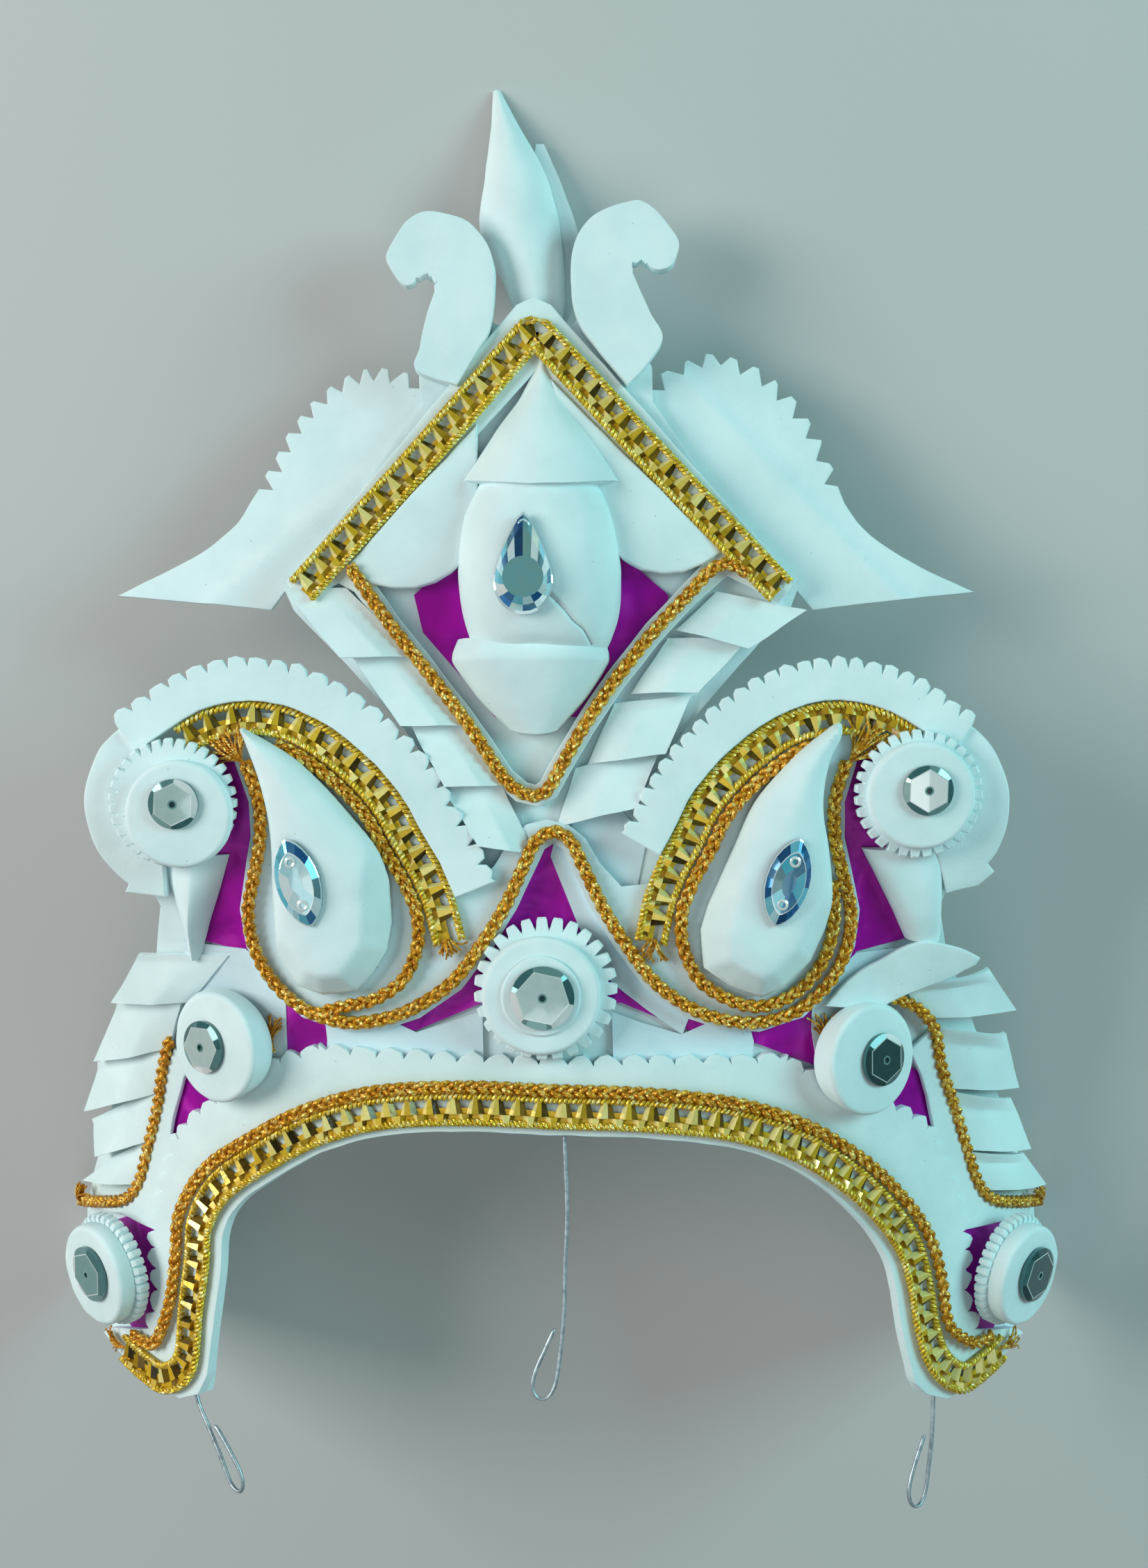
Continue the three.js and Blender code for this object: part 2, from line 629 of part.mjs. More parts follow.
const SIDE_CORD = {
  height: FOIL.high + GAP + CORD_RADIUS,
  top: {
    _left: [[79, -49.8], [81, -55.6]],
    _right: [[68.4, -40], [74.5, -42.8], [78.4, -47.8], [79.8, -55.4]],
  },
  rest: [[83, -65], [85.8, -74.4], [88.6, -82.6], [92.4, -87], [99, -89.2], [107, -91.4]],
};

// Wings: thin sheets behind the diamond, creased along the middle, with saw teeth on top
const WING = {
  low: -3.9,
  high: -2.35,
  innerFrom: [13, 83],
  innerTo: [46, 38],
  creaseFrom: [25, 83.5],
  creaseTo: [65, 40],
  creaseLift: -0.2,
  edgeLift: -3,
  teeth: 12,
  tooth: 2.6,
  toothed: {
    _left: [
      [24.5, 86], [30, 88.5], [36, 88.7], [42, 85.8], [47.5, 81.6], [51, 76.5], [53.2, 70.6],
      [55.6, 66.6],
    ],
    _right: [
      [25.2, 87.4], [32, 90.8], [40, 91.6], [47.5, 88.6], [53, 84], [56.9, 77.1], [59, 71.6],
      [60.8, 66],
    ],
  },
  plain: {
    _left: [[58.6, 61.8], [64.4, 56.2], [71, 51], [80, 46.8], [88, 41.9]],
    _right: [[64.2, 59.2], [70.1, 54.2], [77, 49.7], [84.4, 46.4], [89.8, 42.3]],
  },
};

function wingGeometry(side, suffix) {
  const rim = [...sawTeeth(WING.toothed[suffix], WING.teeth, WING.tooth), ...WING.plain[suffix]];
  const between = (from, to, t) => [0, 1].map((k) => from[k] + (to[k] - from[k]) * t);
  const columns = rim.map((edge, i) => {
    const t = i / (rim.length - 1);
    return [
      [...between(WING.innerFrom, WING.innerTo, t), 0],
      [...between(WING.creaseFrom, WING.creaseTo, t), WING.creaseLift],
      [...edge, WING.edgeLift],
    ];
  });
  return ringLoft(columns.map((column) => [
    ...column.map(([x, y, lift]) => place(side * x, y, WING.low + lift)),
    ...column.map(([x, y, lift]) => place(side * x, y, WING.high + lift)).reverse(),
  ]));
}

// Curls beside the finial
const CURL = {
  low: GAP,
  high: 4.35,
  raise: { _left: 0, _right: 1.2 },
  outline: [
    [17.8, 83.4], [24, 87.8], [22.6, 91], [21, 97], [19.2, 102.3], [20.6, 104.2], [24.6, 103],
    [27.8, 105.2], [29, 108.2], [27.3, 112.4], [23, 116.7], [19.5, 117.3], [13.2, 115.6],
    [10, 112.8], [8.3, 108], [8, 102], [10, 93.6],
  ],
};

for (const [side, suffix] of [[-1, '_left'], [1, '_right']]) {
  const crescentPath = smoothPath(CRESCENT.path, 4);
  const outer = sawTeeth(offsetPath(crescentPath, -CRESCENT.half), CRESCENT.teeth, -CRESCENT.tooth);
  const inner = offsetPath(crescentPath, CRESCENT.half);
  const crescent = mirrored([...outer, ...inner.reverse()], side);
  const crescentTop = ON_GROUND + CRESCENT.thick;
  addPiece(`crescent${suffix}`, sheet(crescent, ON_GROUND, crescentTop), 'pith');

  const trimPath = offsetPath(crescentPath, CRESCENT_TRIM);
  const trimShown = [...trimPath.slice(Math.round(TRIM_FROM * trimPath.length)), TRIM_END];
  const trimOutline = mirrored(stripOutline(smoothPath(trimShown, 5), TRIM.half), side);
  addPiece(`crescent_trim${suffix}`, sheet(trimOutline, TRIM.low, TRIM.high), 'gold');

  const loopPath = offsetPath(crescentPath, LOOP_INSET);
  const loopShown = [...loopPath.slice(Math.round(LOOP_FROM * loopPath.length)), ...LOOP_END];
  cord(`paisley_cord${suffix}`, mirrored(smoothPath(loopShown, 7), side));

  const drop = mirrored(PAISLEY.outline, side);
  const [dropX, dropY] = PAISLEY.centre;
  const paisley = cushion(drop, PAISLEY.heights, PAISLEY.inset, [side * dropX, dropY]);
  addPiece(`paisley${suffix}`, paisley, 'pith');
  const boat = boatOutline(BOAT_STONE.length, BOAT_STONE.width, 12);
  const stone = cutStone(`boat_stone${suffix}`, boat, BOAT_STONE.rise, BOAT_STONE.table);
  const stoneHeight = PAISLEY.heights.high + GAP;
  seat(stone, side * BOAT_STONE.x[suffix], BOAT_STONE.y, stoneHeight, { turn: side * BOAT_STONE.turn });

  for (const row of ROSETTES) rosette(row, side, suffix);

  const [x, y] = ROSETTES[0].at[suffix];
  const scroll = [
    ...arcPoints(x, y, SCROLL.outer, SCROLL.from, SCROLL.to, 16),
    ...arcPoints(x, y, SCROLL.inner, SCROLL.to, SCROLL.from, 8),
  ];
  addPiece(`scroll${suffix}`, sheet(mirrored(scroll, side), SCROLL.low, SCROLL.high), 'pith');
  const legRows = LEG.rows
    .map((row) => ({ ...row, x: side * row.x, y: LEG.top - LEG.reach[suffix] * row.along }));
  addPiece(`leg${suffix}`, carvedStick(legRows, LEG.under), 'pith');

  const strips = STRIPS[suffix].map((row) => ({ ...row, ...STRIP }));
  addPiece(`side_strips${suffix}`, shingles(strips, side), 'pith');
  const sideCord = [...SIDE_CORD.top[suffix], ...SIDE_CORD.rest];
  cord(`side_cord${suffix}`, mirrored(sideCord, side), SIDE_CORD.height);
  addPiece(`wing${suffix}`, wingGeometry(side, suffix), 'pith');
  const curl = mirrored(CURL.outline, side).map(([cx, cy]) => [cx, cy + CURL.raise[suffix]]);
  addPiece(`curl${suffix}`, sheet(curl, CURL.low, CURL.high), 'pith');
}
rosette(CENTRE_ROSETTE, 1, '');

// Diamond: foil, white frame, gold trim over its upper sides and a cord along its lower ones
const DIAMOND = {
  crest: [[51, 43.7], [3.5, 99], [0, 100.6]],
  corner: [47.8, 39.2],
  notches: { left: [-40.6, 43.2], right: [37.4, 44.8] },
  trim: [[0, 90.9], [47.5, 41.2]],
  cord: [
    [-35.6, 42.8], [-29.9, 34.4], [-23.3, 25.8], [-15.5, 15.3], [-8.6, 4.6], [-5, 1.4], [-2, 0.7],
    [0.4, 2], [3, 6.4], [7.8, 14.4], [14.3, 23.7], [22.4, 33.6], [29.4, 40.9],
  ],
  rim: 2.2,
  innerCorners: [[34.4, 49.2], [0, 85.7], [-36, 47.6]],
  foil: [[12, 53], [25.6, 41], [24, 33.5], [16, 24], [10, 16.5]],
};
const frameOutline = [
  ...offsetPath(DIAMOND.cord, -DIAMOND.rim),
  DIAMOND.notches.right,
  DIAMOND.corner,
  ...DIAMOND.crest,
  ...mirrored([DIAMOND.corner, DIAMOND.crest[0], DIAMOND.crest[1]], -1).reverse(),
  DIAMOND.notches.left,
];
const frameHole = [...offsetPath(DIAMOND.cord, DIAMOND.rim), ...DIAMOND.innerCorners];
addPiece('diamond_frame', sheet(frameOutline, GROUND.low, GROUND.high, frameHole), 'pith');

function mitredStrip([apex, end], half) {
  const run = Math.hypot(end[0] - apex[0], end[1] - apex[1]);
  const across = [-(end[1] - apex[1]) / run, (end[0] - apex[0]) / run];
  const mitre = half / across[1];
  const outerEnd = [end[0] + across[0] * half, end[1] + across[1] * half];
  const innerEnd = [end[0] - across[0] * half, end[1] - across[1] * half];
  return [
    [apex[0], apex[1] + mitre], outerEnd, innerEnd, [apex[0], apex[1] - mitre],
    ...mirrored([innerEnd, outerEnd], -1),
  ];
}

addPiece('diamond_trim', sheet(mitredStrip(DIAMOND.trim, TRIM.half), TRIM.low, TRIM.high), 'gold');
cord('diamond_cord', DIAMOND.cord);
const diamondFoil = [...DIAMOND.foil, ...mirrored(DIAMOND.foil, -1).reverse()];
addPiece('foil_diamond', sheet(diamondFoil, FOIL.low, FOIL.high), 'foil');

// Petals either side of the pot
const PETAL = [
  [15.3, 69], [32.8, 50.4], [31.2, 47.4], [28.4, 45.6], [24.2, 44.7], [20.2, 45.5], [17.2, 47.8],
  [17, 54], [15.8, 62],
];
for (const [side, suffix] of [[-1, '_left'], [1, '_right']]) {
  addPiece(`petal${suffix}`, sheet(mirrored(PETAL, side), GROUND.low, 3.6), 'pith');
}

// Pot: pointed cap, round body and tapered foot, with a drop-shaped stone on the body
const POT = {
  under: GROUND.low,
  power: 2.6,
  cap: [
    { x: 0.3, y: 84.8, half: 0.5, rise: 1 },
    { x: 0.3, y: 76, half: 7.2, rise: 6 },
    { x: 0, y: 63.2, half: 14.6, rise: 11.4 },
  ],
  body: [
    { x: 0, y: 62.8, half: 11.8, rise: 9.4 },
    { x: 0, y: 56, half: 15, rise: 11.6 },
    { x: 0, y: 47, half: 16.3, rise: 12.6 },
    { x: -0.2, y: 38, half: 15.8, rise: 12.2 },
    { x: -0.6, y: 31.6, half: 13.8, rise: 10 },
  ],
  foot: [
    { x: -2, y: 31.2, half: 15.2, rise: 8.4 },
    { x: -2.4, y: 27, half: 15.6, rise: 8.8 },
    { x: -2.2, y: 19, half: 9.6, rise: 6.4 },
    { x: -2.2, y: 13.8, half: 4.8, rise: 3.6 },
  ],
};
for (const piece of ['cap', 'body', 'foot']) {
  addPiece(`pot_${piece}`, carvedStick(POT[piece], POT.under, { power: POT.power, segments: 10 }), 'pith');
}
const DROP_STONE = {
  x: -3.2,
  y: 45.2,
  h: POT.under + Math.max(...POT.body.map((row) => row.rise)) + GAP,
  length: 20,
  width: 12,
  rise: 3.4,
  table: 0.5,
  tableAt: [0, -2],
  sides: 14,
};

// Drop outline: round at the bottom and drawn to a point at the top
function dropOutline({ length, width, sides }) {
  return Array.from({ length: sides }, (_, i) => {
    const angle = (2 * Math.PI * i) / sides;
    const height = Math.cos(angle);
    const across = Math.sin(angle);
    const narrow = Math.min(1, 0.75 - 0.5 * height + 0.42 * (1 + height) * Math.abs(across));
    return [(width / 2) * across * narrow, (length / 2) * height];
  });
}

const drop = cutStone(
  'drop_stone',
  dropOutline(DROP_STONE),
  DROP_STONE.rise,
  DROP_STONE.table,
  DROP_STONE.tableAt,
);
seat(drop, DROP_STONE.x, DROP_STONE.y, DROP_STONE.h);

// Ribs below the diamond, four folded strips on each side
const RIB = { under: GAP, thin: 1.2, thick: 3.6 };
const RIBS = {
  _left: [
    { innerTop: [38.4, 38.6], outerTop: [49.6, 38.6], innerLow: [29.6, 28.2], outerLow: [41.4, 28.2] },
    { innerTop: [29, 27.6], outerTop: [37.3, 27.6], innerLow: [19, 14.4], outerLow: [28.4, 14.4] },
    { innerTop: [18.6, 13.8], outerTop: [26, 13.8], innerLow: [11, 3], outerLow: [19.4, 2.8] },
    { innerTop: [10.6, 2.4], outerTop: [17.4, 2.2], innerLow: [8.8, -5.6], outerLow: [13.2, -6.8] },
  ],
  _right: [
    { innerTop: [35.6, 39.6], outerTop: [50, 36.4], innerLow: [28.2, 33], outerLow: [40.8, 29.8] },
    { innerTop: [24.6, 29], outerTop: [40, 29.2], innerLow: [17.8, 20.6], outerLow: [31, 20.2] },
    { innerTop: [14.6, 16.4], outerTop: [28.4, 18.6], innerLow: [9.8, 7.4], outerLow: [23.6, 10.2] },
    { innerTop: [7.4, 3.6], outerTop: [22, 8.8], innerLow: [6.8, -4.4], outerLow: [17.6, 1.2] },
  ],
};
for (const [side, suffix] of [[-1, '_left'], [1, '_right']]) {
  const ribs = RIBS[suffix].map((row) => ({ ...row, ...RIB }));
  addPiece(`ribs${suffix}`, shingles(ribs, side), 'pith');
}

// Finial: a stick split in two, the front half leaning left and the back half right
const FINIAL = {
  under: -4.6,
  front: [
    { x: 1.6, y: 97, half: 4.8, rise: 4.4 },
    { x: 0.6, y: 104, half: 6.4, rise: 6 },
    { x: -2, y: 114, half: 7.6, rise: 6.6 },
    { x: -4.2, y: 128, half: 4.6, rise: 4.6 },
    { x: -6.4, y: 144, half: 1, rise: 1.2 },
  ],
  back: [
    { x: 2.2, y: 97, half: 4.4, rise: 3.6 },
    { x: 2.4, y: 113, half: 7.4, rise: 5.6 },
    { x: 2, y: 133.5, half: 0.8, rise: 1 },
  ],
};
addPiece('finial_front', carvedStick(FINIAL.front, FINIAL.under), 'pith');
addPiece('finial_back', carvedStick(FINIAL.back, FINIAL.under - GAP, { direction: -1 }), 'pith');

// Wire eyes for tying: one from the edge of the brow, in line with the board, and one behind each leg
const WIRE = { radius: 0.55, sides: 6, spacing: 2.7 };
const WIRES = {
  wire_centre: {
    h: (BOARD.low + BOARD.high) / 2,
    points: [
      [1.8, -67.9], [1.9, -84], [1.2, -95], [0.9, -102.4], [0.2, -109], [-0.6, -114.5], [-1.8, -119.8],
      [-4.1, -122], [-6.2, -119.5], [-5.4, -115.8], [-3.4, -111.6], [-1.2, -107],
    ],
  },
  wire_left: {
    h: BOARD.low - GAP - WIRE.radius,
    points: [
      [-81, -114], [-80.8, -128], [-77.8, -134.6], [-74.8, -140.6], [-72.2, -146.4], [-69.8, -147],
      [-69.8, -143.6], [-72.6, -138.6], [-76.2, -133.6],
    ],
  },
  wire_right: {
    h: BOARD.low - GAP - WIRE.radius,
    points: [
      [81.4, -114], [81.2, -128], [80.8, -136], [79.8, -143], [78.2, -150.4], [76.2, -152],
      [74.4, -148.4], [76.4, -141.8], [78.8, -136.4],
    ],
  },
};
for (const [name, { h, points }] of Object.entries(WIRES)) {
  const route = points.map(([x, y]) => [x, y, h]);
  addPiece(name, tube(route, WIRE.radius, WIRE.sides, WIRE.spacing), 'wire');
}

// Lay the crown on its back and put the origin under the middle of its box
crown.rotation.x = -REST_TILT;
crown.updateMatrixWorld(true);
const box = new THREE.Box3().setFromObject(crown, true);
crown.position.set(-(box.min.x + box.max.x) / 2, -(box.min.y + box.max.y) / 2, -box.min.z);

const part = new THREE.Group();
part.add(crown);

export default part;
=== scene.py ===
# %% [markdown]
# # A bridal crown of white pith, purple foil and gold
# The crown is a layered cut-out. White sheets of plant pith are glued over purple foil on a bent
# board, edged with gold ribbon and plaited gold cord, and set with mirrors and cut stones.
# The measured model comes first: it is loaded as the frame, and every piece made below stands
# where its plain solid stands.

# %% Load the measured model
import json
import math

import bmesh
import bpy
import numpy as np
from mathutils import Matrix, Vector, geometry, noise


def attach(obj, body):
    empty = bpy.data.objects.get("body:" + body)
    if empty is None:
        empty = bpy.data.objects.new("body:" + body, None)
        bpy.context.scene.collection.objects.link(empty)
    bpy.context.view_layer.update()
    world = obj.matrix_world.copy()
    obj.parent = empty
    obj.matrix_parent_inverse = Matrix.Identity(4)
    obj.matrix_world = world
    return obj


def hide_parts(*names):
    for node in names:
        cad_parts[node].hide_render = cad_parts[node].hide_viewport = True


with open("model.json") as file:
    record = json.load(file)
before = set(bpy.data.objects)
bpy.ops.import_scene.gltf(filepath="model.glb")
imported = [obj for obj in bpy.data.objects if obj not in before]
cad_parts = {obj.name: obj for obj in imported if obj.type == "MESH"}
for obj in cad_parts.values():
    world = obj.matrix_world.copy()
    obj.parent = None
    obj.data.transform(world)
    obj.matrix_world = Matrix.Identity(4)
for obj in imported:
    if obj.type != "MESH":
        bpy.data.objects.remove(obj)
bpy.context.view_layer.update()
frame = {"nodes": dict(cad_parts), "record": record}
scene = bpy.context.scene

# %% [markdown]
# ## The bend of the board
# A maker draws every layer flat on paper, cuts it out and then presses it on the bent board.
# The same is done here: a piece is drawn with x across, y up to the finial and h above the
# front of the board, all in millimetres. `lay` presses drawn points on the bend and gives metres
# in the frame, and `unlay` peels them off again, so a measured solid can be reworked flat.

# %% Drawing to crown and back
MM = 0.001
SPAN, FLAT = 116.0, 9.0
WRAP_TOP, WRAP_LOW, WRAP_FROM, WRAP_TO, WRAP_GAIN = 5.5, 90.0, 10.0, -75.0, 0.15
LEAN, LEAN_FROM = 0.026, -18.0
REST_TILT = 0.2307
FACE_POINT = (0.0, 30.0, -2.0)     # the middle of the flat face on the board's back, as drawn

tilt_cos, tilt_sin = math.cos(REST_TILT), math.sin(REST_TILT)
TURN = np.array([[1, 0, 0], [0, tilt_cos, tilt_sin], [0, -tilt_sin, tilt_cos]])


def depth_at(x, y):
    t = np.clip((WRAP_FROM - y) / (WRAP_FROM - WRAP_TO), 0, 1)
    wrap = WRAP_TOP + (WRAP_LOW - WRAP_TOP) * t * t * (3 - 2 * t)
    wrap = wrap + WRAP_GAIN * np.maximum(0, WRAP_TO - y)
    u = np.clip((np.abs(x) - FLAT) / (SPAN - FLAT), 0, 0.98)
    return -wrap * (1 - np.sqrt(1 - u * u))


def slopes_at(x, y, step=0.05):
    across = (depth_at(x + step, y) - depth_at(x - step, y)) / (2 * step)
    along = (depth_at(x, y + step) - depth_at(x, y - step)) / (2 * step)
    return across, along


def unit(vectors):
    return vectors / np.linalg.norm(vectors, axis=-1, keepdims=True)


def normal_at(x, y):
    across, along = slopes_at(x, y)
    return unit(np.stack([-across, -along, np.ones_like(across)], -1))


def on_crown(points):
    drawn = np.asarray(points, float)
    x, y, h = drawn[..., 0], drawn[..., 1], drawn[..., 2]
    crown = np.stack([x, y, depth_at(x, y)], -1) + h[..., None] * normal_at(x, y)
    crown[..., 0] -= LEAN * (crown[..., 1] - LEAN_FROM)
    return crown


SHIFT = np.array(frame["record"]["mounts"][0]["pos_m"]) / MM - TURN @ on_crown(FACE_POINT)


def to_frame(crown):
    return (np.asarray(crown) @ TURN.T + SHIFT) * MM


def lay(points):
    return to_frame(on_crown(points))


def unlay(points):
    crown = (np.asarray(points) / MM - SHIFT) @ TURN
    crown[:, 0] += LEAN * (crown[:, 1] - LEAN_FROM)
    x, y = crown[:, 0].copy(), crown[:, 1].copy()
    for _ in range(20):
        sx, sy = slopes_at(x, y)
        off = crown - np.stack([x, y, depth_at(x, y)], -1)
        tx, ty = off[:, 0] + off[:, 2] * sx, off[:, 1] + off[:, 2] * sy
        a, b, c = 1 + sx * sx, sx * sy, 1 + sy * sy
        x += (c * tx - b * ty) / (a * c - b * b)
        y += (a * ty - b * tx) / (a * c - b * b)
    off = crown - np.stack([x, y, depth_at(x, y)], -1)
    return np.stack([x, y, (off * normal_at(x, y)).sum(-1)], -1)


print("shift of the crown in mm:", SHIFT.round(3))

# %% [markdown]
# ## Finishes
# A finish is a small tree of nodes. Real pith is matte and nearly white, with a fine grain, soft
# stains and a few open pores, so its colour comes from slow noise and its surface from fine noise.
# Everything is measured in object space, in metres: a noise scale of 1000 makes marks of about
# one millimetre. `node` adds one node and sets or links its inputs, and `bumped` adds a bump.

# %% Node helpers and the pith finish
def new_finish(name):
    material = bpy.data.materials.new(name)
    material.use_nodes = True
    return material, material.node_tree, material.node_tree.nodes["Principled BSDF"]


def node(tree, kind, inputs, **settings):
    made = tree.nodes.new("ShaderNode" + kind)
    for key, value in settings.items():
        setattr(made, key, value)
    feed(tree, made, inputs)
    return made


def feed(tree, target, inputs):
    for key, value in inputs.items():
        if isinstance(value, bpy.types.NodeSocket):
            tree.links.new(value, target.inputs[key])
        else:
            target.inputs[key].default_value = value


def bumped(tree, height, strength, distance, **under):
    """The normal of a bump, over the normal of another bump if one is given."""
    inputs = {"Height": height, "Strength": strength, "Distance": distance, **under}
    return node(tree, "Bump", inputs).outputs["Normal"]


def ramp(tree, factor, stops):
    made = node(tree, "ValToRGB", {"Fac": factor})
    elements = made.color_ramp.elements
    while len(elements) < len(stops):
        elements.new(0.5)
    for element, (position, colour) in zip(elements, stops):
        element.position = position
        element.color = (*colour, 1)
    return made.outputs["Color"]


def pith_finish(name, pale, stained, grain):
    material, tree, shader = new_finish(name)
    where = node(tree, "TexCoord", {}).outputs["Object"]
    stain = node(tree, "TexNoise", {"Vector": where, "Scale": 75.0, "Detail": 5.0, "Roughness": 0.6})
    colour = ramp(tree, stain.outputs["Fac"], [(0.32, stained), (0.62, pale)])
    pores = node(tree, "TexVoronoi", {"Vector": where, "Scale": 210.0})
    open_pore = ramp(tree, pores.outputs["Distance"], [(0.02, (0.42, 0.4, 0.36)), (0.045, (1, 1, 1))])
    mixed = node(tree, "Mix", {0: 0.55, 6: colour, 7: open_pore}, data_type="RGBA",
                 blend_type="MULTIPLY")
    fine = node(tree, "TexNoise", {"Vector": where, "Scale": grain, "Detail": 6.0, "Roughness": 0.65})
    feed(tree, shader, {
        "Base Color": mixed.outputs[2], "Roughness": 0.78, "Specular IOR Level": 0.25,
        "Normal": bumped(tree, fine.outputs["Fac"], 0.35, 0.0002),
    })
    return material


FINISH = {
    "pith": pith_finish("pith", (0.78, 0.92, 0.94), (0.7, 0.85, 0.87), 1900.0),
    "card": pith_finish("pale card", (0.71, 0.87, 0.93), (0.63, 0.8, 0.87), 1200.0),
    "board": pith_finish("white board", (0.77, 0.91, 0.93), (0.69, 0.84, 0.86), 1200.0),
}
print("finishes:", list(FINISH))

# %% [markdown]
# ## Foil and gold
# The purple foil is thin metallised paper that was crumpled a little when it was glued, so its creases
# are bump over a wrinkled sheet. The gold ribbon is bright flat foil with fine scratches, with painted
# highlights and painted shade on its facets.
# Gold thread is foil wound round a yarn: each strand carries a vector called `wind`, made with
# its mesh, which tells the finish the angle round the strand and the length along it. Its colour is a
# random gold tone for each small cell, and the palest cells are painted glints.

# %% Foil, ribbon and thread finishes
def foil_finish():
    material, tree, shader = new_finish("purple foil")
    where = node(tree, "TexCoord", {}).outputs["Object"]
    broad = node(tree, "TexNoise", {"Vector": where, "Scale": 110.0, "Detail": 2.0, "Distortion": 0.8})
    crease = node(tree, "TexVoronoi", {"Vector": where, "Scale": 140.0}, feature="DISTANCE_TO_EDGE")
    colour = ramp(tree, broad.outputs["Fac"], [
        (0.3, (0.35, 0.0, 0.33)), (0.58, (0.48, 0.001, 0.43)), (0.75, (0.72, 0.04, 0.6)),
    ])
    soft = bumped(tree, broad.outputs["Fac"], 0.3, 0.001)
    sharp = bumped(tree, crease.outputs["Distance"], 0.2, 0.0005, Normal=soft)
    feed(tree, shader, {"Base Color": colour, "Metallic": 0.3, "Roughness": 0.3, "Normal": sharp})
    return material


def ribbon_finish():
    material, tree, shader = new_finish("gold foil ribbon")
    facet_painted_light = node(tree, "Attribute", {}, attribute_name="facet_painted_light").outputs["Fac"]
    where = node(tree, "TexCoord", {}).outputs["Object"]
    worn = node(tree, "TexNoise", {"Vector": where, "Scale": 900.0, "Detail": 3.0})
    shade = node(tree, "Math", {0: worn.outputs["Fac"], 1: 0.2, 2: facet_painted_light}, operation="MULTIPLY_ADD")
    # The facet numbers, with a little noise, become colours: near black is painted shade, pale yellow a
    # painted highlight.
    colour = ramp(tree, shade.outputs[0], [
        (0.1, (0.03, 0.02, 0.002)), (0.38, (0.26, 0.15, 0.008)),
        (0.68, (0.84, 0.52, 0.025)), (1.0, (1.0, 0.9, 0.36)),
    ])
    scratched = bumped(tree, worn.outputs["Fac"], 0.2, 0.0003)
    feed(tree, shader, {"Base Color": colour, "Metallic": 0.25, "Roughness": 0.2, "Normal": scratched})
    return material


def thread_finish(name, stops):
    material, tree, shader = new_finish(name)
    wind = node(tree, "Attribute", {}, attribute_name="wind").outputs["Vector"]
    parts = node(tree, "SeparateXYZ", {"Vector": wind})
    angle = node(tree, "Math", {0: parts.outputs["Y"], 1: parts.outputs["X"]}, operation="ARCTAN2")
    turns = node(tree, "Math", {0: angle.outputs[0], 1: 3.0, 2: parts.outputs["Z"]},
                 operation="MULTIPLY_ADD")
    thread = node(tree, "Math", {0: turns.outputs[0]}, operation="SINE")
    where = node(tree, "TexCoord", {}).outputs["Object"]
    tone_and_glint_cells = node(tree, "TexVoronoi", {"Vector": where, "Scale": 1500.0})
    # Each small cell gets a random gold tone; the palest ones are painted glints.
    colour = ramp(tree, tone_and_glint_cells.outputs["Color"], stops)
    turned = bumped(tree, thread.outputs[0], 0.5, 0.00012)
    glint = bumped(tree, tone_and_glint_cells.outputs["Distance"], 0.2, 0.0002, Normal=turned)
    feed(tree, shader, {"Base Color": colour, "Metallic": 0.45, "Roughness": 0.36, "Normal": glint})
    return material


# Gold tones of thread and lace; the palest stop paints glints.
THREAD = [(0.25, (0.5, 0.19, 0.006)), (0.6, (0.8, 0.38, 0.016)), (0.92, (1.0, 0.8, 0.26))]
LACE = [(0.2, (0.66, 0.4, 0.02)), (0.6, (0.85, 0.6, 0.04)), (0.9, (1.0, 0.9, 0.42))]
FINISH.update({
    "foil": foil_finish(), "ribbon": ribbon_finish(), "thread": thread_finish("gold thread", THREAD),
    "lace": thread_finish("gold lace", LACE),
})
print("finishes:", list(FINISH))

# %% [markdown]
# ## Glass and wire
# The mirrors are small cut pieces of silvered glass, and the stones have a foil back with a thin
# rainbow coat. A mirror only shows what stands round it, so each facet gets a painted reflection: a
# number stored as `facet_painted_light` on the mesh picks its colour, which keeps the stones lively
# under soft light. The wire is dull grey steel.

# %% Mirror, stone and wire finishes
def glass_finish(name, colours, metallic, roughness, film):
    material, tree, shader = new_finish(name)
    facet_painted_light = node(tree, "Attribute", {}, attribute_name="facet_painted_light").outputs["Fac"]
    where = node(tree, "TexCoord", {}).outputs["Object"]
    cloud = node(tree, "TexNoise", {"Vector": where, "Scale": 500.0, "Detail": 2.0})
    # The facet numbers, with a little cloud, pick a painted reflection for each facet.
    shade = node(tree, "Math", {0: cloud.outputs["Fac"], 1: 0.08, 2: facet_painted_light}, operation="MULTIPLY_ADD")
    stops = [(k / (len(colours) - 1), colour) for k, colour in enumerate(colours)]
    feed(tree, shader, {
        "Base Color": ramp(tree, shade.outputs[0], stops), "Metallic": metallic, "Roughness": roughness,
        "Coat Weight": 0.6, "Coat Roughness": 0.03, "Thin Film Thickness": film,
    })
    return material


def wire_finish():
    material, tree, shader = new_finish("dull wire")
    where = node(tree, "TexCoord", {}).outputs["Object"]
    dull = node(tree, "TexNoise", {"Vector": where, "Scale": 900.0, "Detail": 4.0})
    colour = ramp(tree, dull.outputs["Fac"], [(0.3, (0.3, 0.36, 0.4)), (0.7, (0.62, 0.7, 0.74))])
    drawn = bumped(tree, dull.outputs["Fac"], 0.3, 0.0001)
    feed(tree, shader, {"Base Color": colour, "Metallic": 0.75, "Roughness": 0.42, "Normal": drawn})
    return material


